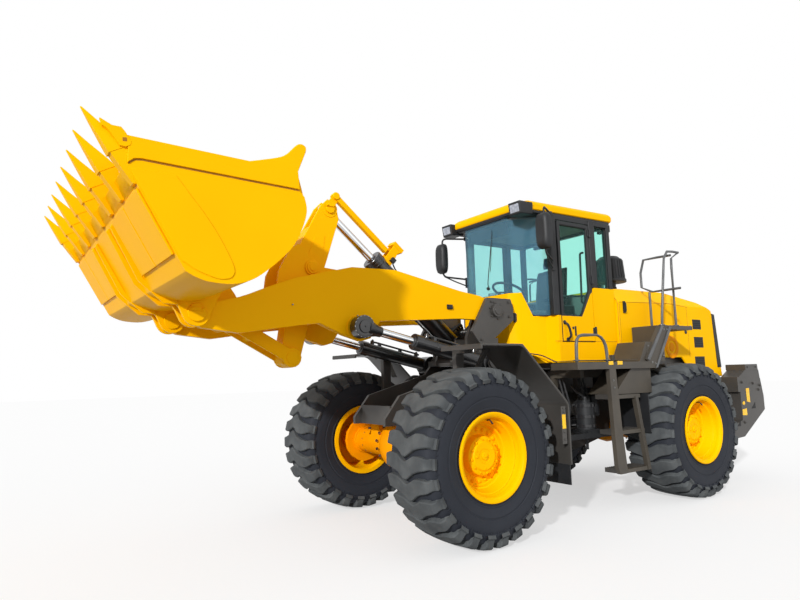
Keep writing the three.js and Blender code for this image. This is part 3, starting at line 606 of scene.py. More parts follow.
def rim_mesh():
    """Deep dish rim with its flange, lock ring, bolted disc and planetary hub cover."""
    piece = Piece()
    profile = [(-284, 386), (-286, 372), (-284, 342), (-240, 318), (30, 300), (30, 0), (150, 0), (152, 60),
               (150, 62), (156, 64), (158, 120), (152, 128), (144, 134), (140, 160), (134, 168), (122, 172),
               (70, 178), (62, 184), (58, 190), (58, 262), (62, 267), (98, 270), (104, 274), (108, 284),
               (196, 306), (204, 310), (208, 318), (204, 326), (212, 330), (262, 338), (270, 342),
               (274, 350), (280, 354), (284, 364), (288, 372), (288, 380), (284, 386), (270, 386),
               (262, 378), (254, 345), (250, 334), (-250, 334), (-262, 378), (-270, 386)]
    piece.turned(profile, (0, 0, 0), (0, 1, 0), 96, closed=True)
    piece.circle((0, 58, 0), (0, 1, 0), 225, 20, 22)
    piece.circle((0, 150, 0), (0, 1, 0), 148, 12, 13, 0.13, washer=False)
    piece.knob((0, 150, 0), (0, 166, 0), 34, 5)
    piece.bolt((0, 166, 0), (0, 1, 0), 15, washer=False)
    piece.bolt((96, 157, 0), (0, 1, 0), 14, washer=False)
    for k in range(3):
        a = 2 * math.pi * k / 3 + 0.5
        x, z = 105 * math.cos(a), 105 * math.sin(a)
        piece.knob((x, 156, z), (x, 164, z), 9, 3, 12)
    return piece


def make_wheels():
    tyre, rim, valve = tyre_mesh(), rim_mesh(), Piece()
    valve.tube([(0, 205, 312), (0, 240, 318), (0, 262, 300)], 6, 12, 8)
    valve.knob((0, 258, 303), (0, 276, 284), 8, 2, 10)
    data = {}
    for name, piece, mat in (("tyre", tyre, TYRE), ("rim", rim, PAINT), ("valve", valve, BLACK)):
        mesh = bpy.data.meshes.new(name)
        piece.mesh.to_mesh(mesh)
        piece.mesh.free()
        mesh.transform(Matrix.Scale(0.001, 4))
        data[name] = (mesh, mat)
    for spot, x, side in (("front_left", AXLE_X, 1), ("front_right", AXLE_X, -1),
                          ("rear_left", -AXLE_X, 1), ("rear_right", -AXLE_X, -1)):
        turn = Matrix.Rotation(0 if side > 0 else math.pi, 4, "Z")
        to = Matrix.Translation(place(x, side * WHEEL_Y, TYRE_R)) @ turn
        for name, (mesh, mat) in data.items():
            own = mesh.copy()
            own.transform(to)
            stands = () if name == "valve" else (f"{name}_{spot}",)
            wheel = finished(f"wheel_{name}_{spot}", own, mat, f"wheel_{spot}", replaces=stands)
            if name == "tyre":
                wheel.data.materials.append(TREAD)


make_wheels()


# ---------------------------------------------------------------- pins of the loader, in X and Z
BOOM_PIVOT = (712, 2180)
BUCKET_PIN = (3947, 2045)
LINK_PIN = (3570, 2030)
CRANK_PIVOT = (2778, 2549)
CRANK_TOP = (2540, 3180)
CRANK_LOW = (2963, 1693)
TILT_FOOT = (950, 1830)
LIFT_EYE = (2441, 1960)
LIFT_FOOT = (931, 1611)
LIFT_Y = 522
ARM_OUT = 430
TOWER_OUT = 480


# ---------------------------------------------------------------- bucket
EDGE_TIP = Vector((4669, 2845))
EDGE_ALONG = Vector((0.4957, 0.8685))
PLATE_THICK = 30
SIDE_IN = 1468
SIDE_OUT = 1484
LEG_OUT = 1498.5
TOOTH_SPREAD = 2876
TEETH = 8
TOOTH_Y = [TOOTH_SPREAD * (k / (TEETH - 1) - 0.5) for k in range(TEETH)]
# the two parts of a tooth: (distance past the edge, top, underside, half width)
ADAPTER = [(-140, 35, -1, 34), (-132, 50, -20, 38), (-20, 60, -36, 44), (70, 60, -48, 44),
           (110, 52, -50, 42)]
TIP = [(86, 60, -58, 46), (150, 40, -60, 42), (280, -12, -63, 24), (396, -54, -64, 7), (403, -58, -63, 3)]


def edge_point(along, up):
    """Point by the cutting edge: distance along the bottom plate and up from its underside."""
    return (EDGE_TIP.x + along * EDGE_ALONG.x - up * EDGE_ALONG.y,
            EDGE_TIP.y + along * EDGE_ALONG.y + up * EDGE_ALONG.x)


def flat_curve(points, steps=6):
    """A smooth line in the X and Z plane."""
    return [(p.x, p.y) for p in curve([Vector((x, z, 0)) for x, z in points], steps)]


def inset(path, amount):
    """The open path moved sideways by amount, to its left."""
    moved = []
    for i, (x, z) in enumerate(path):
        x0, z0 = path[max(i - 1, 0)]
        x1, z1 = path[min(i + 1, len(path) - 1)]
        n = Vector((z0 - z1, x1 - x0)).normalized()
        moved.append((x + n.x * amount, z + n.y * amount))
    return moved


def make_bucket():
    heel = flat_curve([(4300, 2199), (4240, 2166), (4148, 2138), (3990, 2132), (3854, 2172), (3735, 2255),
                       (3630, 2350), (3554, 2437), (3490, 2560), (3452, 2696), (3470, 2800)], 4)
    back = [(3520, 2981), (3475, 3110), (3456, 3151)]
    outer = [edge_point(-2, 0), edge_point(-150, 0)] + heel + back
    shell = Piece()
    shell.plate(outer + inset(outer, -PLATE_THICK)[::-1], -1470, 1470)
    # lip along the top of the back wall, with its spill guard
    shell.plate([(3456, 3151), (3505, 3186), (3520, 3172), (3486, 3140)], -1470, 1470)
    fin = flat_curve([(3458, 3140), (3456, 3166), (3472, 3186), (3498, 3193), (3526, 3182), (3562, 3146),
                      (3600, 3104), (3650, 3070), (3740, 3038), (3880, 2996)], 3)
    side = [edge_point(-4, 0), (4331, 2253), *heel, (3505, 2835), (3520, 2981), *fin, (4661, 3022)]
    for s in (1, -1):
        shell.plate(side, *span(s, SIDE_IN, SIDE_OUT))
    return shell.done("bucket_body", PAINT, "bucket", 4, replaces=("bucket_shell",))


def make_bucket_details():
    wear = Piece()
    # wear plates on the outer heel, side by side, and the ribs under the floor that lead to the ears
    heel_plate = [edge_point(*p) for p in ((-165, -1), (-165, -17), (-620, -17), (-620, -1))]
    for y0, y1 in ((-1460, -1010), (-990, -540), (540, 990), (1010, 1460)):
        wear.plate(heel_plate, y0, y1)
    rib = [edge_point(-170, -1), edge_point(-190, -30), edge_point(-640, -44), (4200, 2105), (4080, 2100),
           (4120, 2150), (4260, 2192), edge_point(-640, -1)]
    for y in (-480, -300, 300, 480):
        wear.plate(rib, y - 15, y + 15)
    wear.done("bucket_wear_plates", PAINT, "bucket", 4)


def make_bucket_sides():
    sides = Piece()
    # thicker upper band of the side plate, standing proud; the thin shadow under its lower edge is painted
    # further down
    fin = flat_curve([(3462, 3140), (3461, 3166), (3475, 3182), (3498, 3189), (3524, 3178), (3560, 3141),
                      (3598, 3100), (3649, 3065), (3740, 3033), (3880, 2991)], 3)
    band = [(3512, 2848), (4580, 2884), (4622, 2876), (4650, 2852), edge_point(-8, 6), (4656, 3018),
            *fin[::-1], (3524, 2981)]
    sides.plate(band, SIDE_OUT, SIDE_OUT + 12)
    # wear plate round the heel, with a rounded lower end
    heel = flat_curve([(4322, 2262), (4290, 2243), (4240, 2212), (4188, 2190), (4109, 2164), (4056, 2158),
                       (4004, 2172), (3980, 2212), (3996, 2279), (4058, 2397), (4113, 2487), (4194, 2599),
                       (4274, 2697), (4368, 2812)], 3)
    sides.plate(heel + [(4600, 2822), (4640, 2806)], SIDE_OUT, SIDE_OUT + 6)
    # block welded on the corner, seen past the last tooth
    cutter = [edge_point(-2, 10), (4655, 3012), (4610, 3012), (4572, 2880), (4520, 2760), (4420, 2600),
              (4452, 2560), (4560, 2740)]
    sides.plate(cutter, 1440, SIDE_IN)
    sides.mirror().done("bucket_side_plates", PAINT, "bucket", 3)

    shade = Piece()
    # dark strip along the band's lower edge: painted shadow of the band
    shade.plate([(3510, 2836), (4580, 2872), (4616, 2866), (4650, 2840), (4652, 2850), (4622, 2875),
                 (4580, 2883), (3512, 2847)], SIDE_OUT, SIDE_OUT + 1)
    # dark square on the corner leg: a hole painted on, its inside painted shade
    shade.plate([(4664, 2974), (4690, 2971), (4692, 2996), (4666, 2999)], LEG_OUT - 0.1, LEG_OUT + 0.7)
    shade.mirror().done("bucket_side_painted_shadows", SEAM_AND_SHADE, "bucket", 0)
    # leg of the outermost adapter, over the side plate
    leg = Piece()
    leg.plate([(4806, 3052), (4775, 3034), (4728, 2974), (4704, 2942), (4670, 2940), (4643, 2956),
               (4640, 2980), (4676, 3036), (4700, 3062), (4753, 3063), (4822, 3096)], 1470, LEG_OUT)
    leg.mirror().done("bucket_corner_legs", PAINT, "bucket", 2)


def make_bucket_teeth():
    """Cutting edge, and on it adapters that straddle it, each with a pointed tip as a cap."""
    teeth = Piece()
    half = SIDE_IN - 1
    teeth.plate([edge_point(*p) for p in ((-150, 0), (-6, 0), (0, 6), (-2, 14), (-44, 34), (-150, 34))],
                -half, half)
    nuts = Piece()
    for y in TOOTH_Y:
        for part in (ADAPTER, TIP):
            loops = []
            for a, up, down, w in part:
                x0, z0 = edge_point(a, up)
                x1, z1 = edge_point(a, down)
                loops.append([(x0, y - w, z0), (x0, y + w, z0), (x1, y + w, z1), (x1, y - w, z1)])
            teeth.loft(loops)
        for a, out in ((-104, 48), (-60, 54)):
            x, z = edge_point(a, out)
            nuts.bolt((x, y, z), (-EDGE_ALONG.y, 0, EDGE_ALONG.x), 13, washer=False)
    teeth.done("bucket_cutting_edge", PAINT, "bucket", 3, replaces=("bucket_teeth",))
    nuts.done("bucket_tooth_bolts", DARK, "bucket", 1)


def make_bucket_ears():
    ears = Piece()
    link_ear = flat_curve([(3640, 2400), (3500, 2200), (3476, 2030), (3500, 1965), (3570, 1935),
                           (3640, 1962), (3700, 2020), (3800, 2130), (3900, 2200)], 4)
    arm_ear = flat_curve([(3660, 2380), (3800, 2120), (3850, 1990), (3895, 1945), (3947, 1935),
                          (4000, 1950), (4040, 1990), (4085, 2080), (4150, 2160)], 4)
    for shape, y0, y1 in ((link_ear, 132, 168), (arm_ear, 300, 340), (arm_ear, 440, 480)):
        ears.plate(shape, y0, y1)
    ears.mirror().done("bucket_ears", PAINT, "bucket", 4)

    pins = Piece()
    for (x, z), spans in ((BUCKET_PIN, ((286, 300), (480, 496))), (LINK_PIN, ((120, 132), (168, 184)))):
        for y0, y1 in spans:
            pins.knob((x, y0, z), (x, y1, z), 74, 5, 24)
    for (x, z), y in ((BUCKET_PIN, 496), (LINK_PIN, 184)):
        pins.plate([(x - 60, z + 12), (x + 60, z + 12), (x + 60, z + 40), (x - 60, z + 40)], y, y + 12)
        pins.bolt((x - 44, y + 12, z + 26), (0, 1, 0), 15)
        pins.bolt((x + 44, y + 12, z + 26), (0, 1, 0), 15)
    pins.mirror().done("bucket_pins", PAINT, "bucket", 2)


make_bucket()
make_bucket_details()
make_bucket_sides()
make_bucket_teeth()
make_bucket_ears()


# ---------------------------------------------------------------- boom, linkage and cylinders


def make_boom():
    plates = Piece()
    # doubler plates round the eyes
    for (x, z), thick, radius in ((BUCKET_PIN, 8, 96), (LIFT_EYE, 7, 112), (BOOM_PIVOT, 6, 104)):
        plates.rod((x, ARM_OUT, z), (x, ARM_OUT + thick, z), radius, sides=36)
    # stepped end of the bellcrank's pin
    x, z = CRANK_PIVOT
    for y0, y1, radius, edge, sides in ((172, 180, 76.8, 3, 28), (178, 192, 60, 4, 28),
                                        (190, 199, 37.2, 3, 24)):
        plates.knob((x, y0, z), (x, y1, z), radius, edge, sides)
    plates.mirror().done("boom_bosses", PAINT, "boom", 1.5)
    seams = Piece()
    for x in (2440, 2600):
        seams.tube([(x, 350, 2390), (x, 352, 2110)], 6, 10, 6)
    seams.mirror().done("boom_weld_seams", PAINT, "boom")
    sensor = Piece()
    sensor.box(1290, 1360, 430.5, 448, 2178, 2226)
    sensor.box(1298, 1352, 446, 456, 2185, 2219)
    sensor.done("boom_position_switch", BLACK, "boom", 3)
    lines = Piece()
    # pipes along the inner side of each arm, clamped, that feed the cylinders
    for k, y in enumerate((338, 318)):
        lines.tube([(820, y, 2250), (1180, y, 2300 - 8 * k), (1900, y, 2420), (2440, y, 2420),
                    (2700, y - 30, 2330)], 11, 120, 10)
    lines.mirror().done("boom_pipes", PAINT, "boom")
    clamps = Piece()
    for x, z in ((1150, 2292), (1560, 2360), (1960, 2420), (2330, 2424)):
        clamps.box(x - 22, x + 22, 304, 350, z - 16, z + 14)
        clamps.bolt((x, 322, z + 14), (0, 0, 1), 12)
    clamps.mirror().done("boom_pipe_clamps", BLACK, "boom", 2)
    grease = Piece()
    for x, z in ((712, 2285), (2441, 2072), (3947, 2145), (3100, 2150)):
        grease.knob((x, ARM_OUT, z), (x, ARM_OUT + 14, z), 7, 2, 10)
    grease.mirror().done("boom_grease_nipples", STEEL, "boom")


def make_linkage():
    crank = Piece()
    for (x, z), r, outer in ((CRANK_PIVOT, 118, 92), (CRANK_LOW, 92, 92), (CRANK_TOP, 84, 90)):
        for s in (1, -1):
            crank.rod((x, s * 85, z), (x, s * outer, z), r, sides=36)
    crank.plate([(2600, 2900), (2700, 2900), (2800, 2640), (2700, 2560), (2620, 2700)], 85, 89)
    crank.done("bellcrank_bosses", PAINT, "bellcrank", 1.5)
    ends = Piece()
    x, z = CRANK_TOP
    for s in (1, -1):
        ends.knob((x, s * 90, z), (x, s * 108, z), 46, 4, 24)
        ends.box(x - 52, x + 52, *span(s, 108, 117), z + 20, z + 46)
        for dx in (-36, 36):
            ends.bolt((x + dx, s * 117, z + 33), (0, s, 0), 12)
    ends.done("bellcrank_top_pin", PAINT, "bellcrank", 1.5)
    link = Piece()
    for s in (1, -1):
        for x, z in (CRANK_LOW, LINK_PIN):
            link.knob((x, s * 123, z), (x, s * 129, z), 62, 3, 28)
    link.done("link_pin_ends", PAINT, "link")


def make_cylinder(name, bodies, foot, eye, y, length, barrel_r, rod_r, eye_r, half, collar, neck, pipe_side):
    """Gland, ports, pipe and bolts on a barrel, and the big eye on its rod.

    The barrel is length long and the eye is 2 half wide. The gland stands collar over the barrel,
    neck is the length of the eye's taper, and the pipe is above for pipe_side 1, below for -1."""
    a, b = Vector((foot[0], y, foot[1])), Vector((eye[0], y, eye[1]))
    u = (b - a).normalized()
    n = Vector((-u.z, 0, u.x)) * pipe_side
    head = a + u * length
    body = Piece()
    wide = barrel_r + collar
    waist = barrel_r + collar / 2
    body.turned([(-96, barrel_r + 1), (-96, waist), (-88, wide), (-70, wide), (-66, waist), (-60, waist),
                 (-56, wide), (-40, wide), (-36, waist), (-30, waist), (-26, wide), (-6, wide), (2, waist),
                 (2, rod_r + 14), (10, rod_r + 12), (10, rod_r + 4)], head, u, 40)
    for d in (190, length - 150):
        at = a + u * d + n * (barrel_r - 6)
        body.knob(at, at + n * 42, 24, 4, 16)
        body.bolt(at + n * 40, n, 20, washer=False)
    pipe = a + n * (barrel_r + 26)
    body.tube([pipe + u * 150 - n * 4, pipe + u * 200 + n * 2, pipe + u * (length - 190) + n * 2,
               pipe + u * (length - 150) - n * 6], 11, 30, 10)
    for d in (0.42, 0.72):
        c = a + u * length * d
        band = [(-14, barrel_r - 2), (-14, barrel_r + 2), (14, barrel_r + 2), (14, barrel_r - 2)]
        body.turned(band, c, u, 40, closed=True)
        body.box(c.x - 16, c.x + 16, y - 16, y + 16, c.z + n.z * barrel_r - 4, c.z + n.z * (barrel_r + 34))
    body.done(f"{name}_barrel_fittings", CYLINDER, bodies[0], 1.5)
    rod = Piece()
    for s in (1, -1):
        rod.knob((b.x, y + s * (half - 6), b.z), (b.x, y + s * (half + 3), b.z), eye_r * 0.86, 3, 36)
    # tapered neck from the eye down to the rod, and the sleeve round the eye
    rod.turned([(eye_r * 0.5, eye_r * 0.72), (eye_r * 1.02, eye_r * 0.66), (eye_r + neck * 0.55, rod_r + 12),
                (eye_r + neck, rod_r + 8), (eye_r + neck, rod_r + 1)], b, -u, 32)
    rod.turned([(-half - 2, 0), (-half - 2, eye_r - 6), (-half + 3, eye_r + 2), (half - 3, eye_r + 2),
                (half + 2, eye_r - 6), (half + 2, 0)], (b.x, y, b.z), (0, 1, 0), 44)
    rod.done(f"{name}_rod_eye", CYLINDER, bodies[1], 1.0)


def make_level_tube():
    """Bucket level indicator: a square tube that moves with the rod, between two posts on the barrel."""
    foot, top = Vector(TILT_FOOT), Vector(CRANK_TOP)
    along = (foot - top).normalized()
    out = Vector((along.y, -along.x))

    def at(reach, rise):
        p = top + along * reach + out * rise
        return p.x, p.y

    tube = Piece()
    tube.plate([at(-60, 168), at(770, 168), at(770, 224), at(-60, 224)], -28, 28)
    tube.plate([at(-44, 30), at(44, 30), at(30, 170), at(-50, 170)], -14, 14)
    x, z = at(-24, 196)
    tube.knob((x, -40, z), (x, 40, z), 38, 5, 24)
    tube.done("level_tube", PAINT, "tilt_rod", 4)
    posts = Piece()
    post = [at(790, 60), at(900, 60), at(880, 250), at(910, 300), at(900, 330), at(780, 330), at(790, 250)]
    for y0, y1 in ((-56, -42), (42, 56)):
        posts.plate(post, y0, y1)
    posts.plate([at(770, 286), at(912, 286), at(912, 336), at(770, 336)], -60, 60)
    posts.done("level_bracket", PAINT, "tilt_barrel", 4)
    sensor = Piece()
    sensor.plate([at(846, 110), at(900, 110), at(900, 162), at(846, 162)], 60, 96)
    x, z = at(873, 136)
    sensor.rod((x, 54, z), (x, 62, z), 12, sides=12)
    path = [at(880, 112), at(910, 90), at(960, 84), at(1060, 100)]
    sensor.tube([(x, y, z) for (x, z), y in zip(path, (80, 86, 70, 30))], 8, 30, 8)
    sensor.done("level_sensor", BLACK, "tilt_barrel", 4)


def make_cylinders():
    make_cylinder("tilt", ("tilt_barrel", "tilt_rod"), TILT_FOOT, CRANK_TOP, 0, length=1390, barrel_r=100,
                  rod_r=45, eye_r=68, half=46, collar=12, neck=6, pipe_side=-1)
    for side, s in SIDES:
        make_cylinder(f"lift_{side}", (f"lift_barrel_{side}", f"lift_rod_{side}"), LIFT_FOOT, LIFT_EYE,
                      s * LIFT_Y, length=960, barrel_r=72, rod_r=42, eye_r=105, half=50, collar=3, neck=100,
                      pipe_side=1)
        # rod eye's outer cap, a big plain disc with a grease nipple
        cap = Piece()
        x, z = LIFT_EYE
        y = s * (LIFT_Y + 50)
        cap.knob((x, y, z), (x, y + s * 16, z), 62, 6, 36)
        cap.knob((x, y + s * 14, z), (x, y + s * 24, z), 9, 2, 12)
        cap.done(f"lift_{side}_rod_cap", CYLINDER, f"lift_rod_{side}")
        gland = Piece()
        a = Vector((-750, s * 430, 900))
        b = Vector((350, s * 390, 900))
        u = (b - a).normalized()
        gland.turned([(640, 48), (640, 52), (660, 54), (696, 54), (704, 50), (704, 32)], a, u, 32)
        gland.tube([a + u * 150 + Vector((0, 0, 40)), a + u * 180 + Vector((0, 0, 48)),
                    a + u * 600 + Vector((0, 0, 48)), a + u * 640 + Vector((0, 0, 40))], 6, 20, 8)
        gland.done(f"steering_{side}_barrel_fittings", CYLINDER, f"steer_barrel_{side}", 1)


make_boom()
make_linkage()
make_level_tube()
make_cylinders()


# ---------------------------------------------------------------- cab
CAB_Y = 750
SILL = 2130
NOSE_TOP = 2478
COWL_TOP = 2400
HOOD_Y = 785
MIRROR_Y = 905


def seal(piece, outline, y, width=9):
    """Rubber strip round a pane in the X and Z plane."""
    piece.tube([(x, y, z) for x, z in outline], width, 30, 6, closed=True)


def make_roof():
    roof = Piece()
    plan = [(426, -520), (398, -600), (352, -690), (-1080, -726), (-1140, -650), (-1140, 650), (-1080, 726),
            (352, 690), (398, 600), (426, 520)]
    # the rim swells out and the top falls away towards the edges
    rings = [(0.985, 3332), (1.0, 3348), (1.0, 3392), (0.985, 3418), (0.95, 3440), (0.80, 3466)]
    roof.loft([[(x * k + (k - 1) * 340, y * k, z) for x, y in plan] for k, z in rings])
    roof.done("roof_shell", PAINT, "rear_unit", 12, segments=3, replaces=("cab_roof",))
    trim = Piece()
    trim.floor([(x * 0.975, y * 0.975) for x, y in plan], 3303, 3340)
    trim.floor([(x * 0.94, y * 0.93) for x, y in plan], 3290, 3305)
    trim.done("roof_lower_trim", BLACK, "rear_unit", 8)
    for side, s in SIDES:
        pod = Piece()
        pod.slab([(300, s * 500, 3270), (300, s * 712, 3270), (300, s * 722, 3404), (300, s * 500, 3404)],
                 [(478, s * 520, 3262), (478, s * 700, 3262), (496, s * 706, 3408), (496, s * 520, 3408)])
        pod.box(-1165, -1110, *span(s, 470, 640), 3236, 3330)
        pod.done(f"roof_lamp_pod_{side}", BLACK, "rear_unit", 10)
        lens = Piece()
        lens.slab([(478, s * 542, 3284), (478, s * 682, 3284), (490, s * 684, 3380), (490, s * 542, 3380)],
                  [(486, s * 546, 3288), (486, s * 678, 3288), (499, s * 680, 3376), (499, s * 546, 3376)])
        lens.box(-1171, -1163, *span(s, 486, 624), 3250, 3316)
        lens.done(f"roof_lamp_lens_{side}", LENS, "rear_unit", 4)
    stub = Piece()
    stub.knob((-60, 520, 3440), (-60, 520, 3470), 10, 3, 12)
    stub.box(-965, -905, 440, 520, 3446, 3468)
    stub.box(-965, -905, -520, -440, 3446, 3468)
    stub.done("roof_aerial_stubs", BLACK, "rear_unit", 3)


def make_cab_trim():
    seals = Piece()
    door = [(-80, SILL + 5), (-80, 3190), (-550, 3190), (-550, 2440), (-390, SILL + 5)]
    seals_door = Piece()
    seal(seals_door, door, 741, 8)
    seal(seals_door, door, 722, 8)
    seals_door.done("door_glass_seal", RUBBER_AND_SHADE, "cab_door")
    for y in (712, -712):
        seal(seals, [(-698, NOSE_TOP + 4), (-698, 3238), (-942, 3238), (-942, NOSE_TOP + 4)], y, 8)
    seal(seals, [(-27, SILL + 2), (-27, 3238), (-603, 3238), (-603, 2440), (-380, SILL + 2)], -712, 8)
    # strip along the lower edge of the windscreen, following its bends
    half = [(30, 656, SILL + 3), (200, 534, SILL + 6), (290, 470, COWL_TOP - 74), (326, 432, COWL_TOP + 2),
            (404, 352, COWL_TOP + 4)]
    nose = half + [(x, -y, z) for x, y, z in half[::-1]]
    seals.tube(nose, 5, 40, 8)
    seals.tube([(x, y, 3296) for x, y, _ in nose], 10, 40, 8)
    seals.done("cab_glass_seals", RUBBER_AND_SHADE, "rear_unit")
    posts = Piece()
    for s in (1, -1):
        # front post and its filler between windscreen and door
        posts.slab([(-4, s * 664, SILL), (34, s * 676, SILL), (34, s * 744, SILL), (-26, s * 746, SILL),
                    (-26, s * 690, SILL)],
                   [(20, s * 640, 3300), (76, s * 660, 3300), (76, s * 744, 3300), (-26, s * 746, 3300),
                    (-26, s * 690, 3300)])
        posts.slab([(-604, s * 700, NOSE_TOP), (-604, s * 752, NOSE_TOP), (-704, s * 752, NOSE_TOP),
                    (-704, s * 700, NOSE_TOP)],
                   [(-604, s * 700, 3300), (-604, s * 752, 3300), (-704, s * 752, 3300),
                    (-704, s * 700, 3300)])
    posts.done("cab_post_covers", BLACK, "rear_unit", 8)
    creases = Piece()
    # body crease and panel seams, as narrow dark strips; the crease's strip is painted shade, the seams are
    # dark joints
    for s in (1, -1):
        y = s * (CAB_Y + 0.6)
        # dark strip along the crease: painted shade
        creases.tube([(86, y - s, 1838), (-1006, y - s, 1838)], 2.6, 20, 6)
        creases.tube([(-1006, s * HOOD_Y, 1660), (-1006, s * HOOD_Y, 2330), (-1006, s * 640, 2505)],
                     3, 40, 6)
    creases.done("cab_seams_and_crease_shade", SEAM_AND_SHADE, "rear_unit")
    cowl = Piece()
    for s in (1, -1):
        cowl.box(296, 396, *span(s, 392, 446), 2062, 2172)
        cowl.box(304, 388, *span(s, 444, 452), 2072, 2162)
    cowl.done("cowl_side_lamps", BLACK, "rear_unit", 8)
    skirt = Piece()
    for s in (1, -1):
        arch = curve([(410, s * 420, 1722), (377, s * 470, 1722), (290, s * 560, 1704), (201, s * 640, 1680),
                      (120, s * 700, 1630), (88, s * 751, 1602)], 6)
        skirt.tube(arch, 7, 5, 6)
    skirt.done("cab_arch_edge", RUBBER_AND_SHADE, "rear_unit")


def make_door():
    handle = Piece()
    grip = curve([(-70, 752, 2050), (-86, 790, 2020), (-112, 796, 1950), (-120, 792, 1890),
                  (-112, 752, 1856)], 6)
    handle.tube(grip, 13, 5, 12)
    for x, z in ((-70, 2050), (-112, 1856)):
        handle.knob((x, CAB_Y, z), (x, CAB_Y + 14, z), 24, 4, 20)
    handle.done("door_handle", BLACK, "cab_door")
    skin = Piece()
    skin.plate([(-42, 1842), (-42, 2124), (-386, 2124), (-556, 2400), (-586, 2420), (-586, 1842)],
               CAB_Y, CAB_Y + 5)
    skin.done("door_lower_skin", PAINT, "cab_door", 4)
    lock = Piece()
    lock.knob((-210, 755, 1990), (-210, 762, 1990), 16, 3, 16)
    lock.box(-260, -236, 755, 763, 1900, 2010)
    lock.done("door_lock", BLACK, "cab_door", 3)
    hinges = Piece()
    for z in (1960, 2560, 3130):
        hinges.knob((-602, 762, z - 50), (-602, 762, z + 50), 13, 4, 16)
        hinges.box(-600, -560, 752, 762, z - 38, z + 38)
    hinges.done("door_hinges", BLACK, "cab_door", 2)
    rail = Piece()
    rail.tube([(-500, 712, 2300), (-500, 664, 2300), (-520, 664, 2900), (-520, 712, 2900)], 13, 40, 10)
    rail.tube([(-120, 712, 2360), (-120, 660, 2360), (-480, 660, 2380), (-480, 712, 2380)], 12, 40, 10)
    rail.done("door_inner_rails", BLACK, "cab_door")


def oval(y, z, across, high):
    """Rounded upright outline in Y and Z about a middle point."""
    turns = (2 * math.pi * k / 40 for k in range(40))
    return [(y + across * math.copysign(abs(math.cos(t)) ** 0.5, math.cos(t)),
             z + high * math.copysign(abs(math.sin(t)) ** 0.6, math.sin(t))) for t in turns]


def make_mirrors():
    middle = 3030
    # depth, half width and half height from the pane's rim to the round back
    shells = ((318, 90, 194), (322, 96, 200), (352, 98, 202), (382, 90, 192), (404, 70, 166), (416, 40, 116))
    for side, s in SIDES:
        y = s * MIRROR_Y
        head = Piece()
        head.loft([[(x, a, z) for a, z in oval(y, middle, w, h)] for x, w, h in shells])
        head.tube([(60, s * 752, 3300), (336, y, 3306), (336, y, 2790), (60, s * 752, 2750)], 12, 60, 12)
        head.tube([(60, s * 752, 2660), (200, s * 820, 2720), (322, s * 898, 2792)], 9, 40, 10)
        head.box(40, 80, *span(s, 742, 764), 3276, 3322)
        head.box(40, 80, *span(s, 742, 764), 2636, 2772)
        head.box(312, 362, y - 24, y + 24, middle - 25, middle + 25)
        head.done(f"mirror_head_{side}", BLACK, "rear_unit", 3, replaces=(f"mirror_{side}",))
        pane = Piece()
        pane.slab(*([(x, a, z) for a, z in oval(y, middle, 92 * 0.88, 196 * 0.92)] for x in (313, 318.5)))
        pane.done(f"mirror_pane_{side}", MIRROR, "rear_unit")


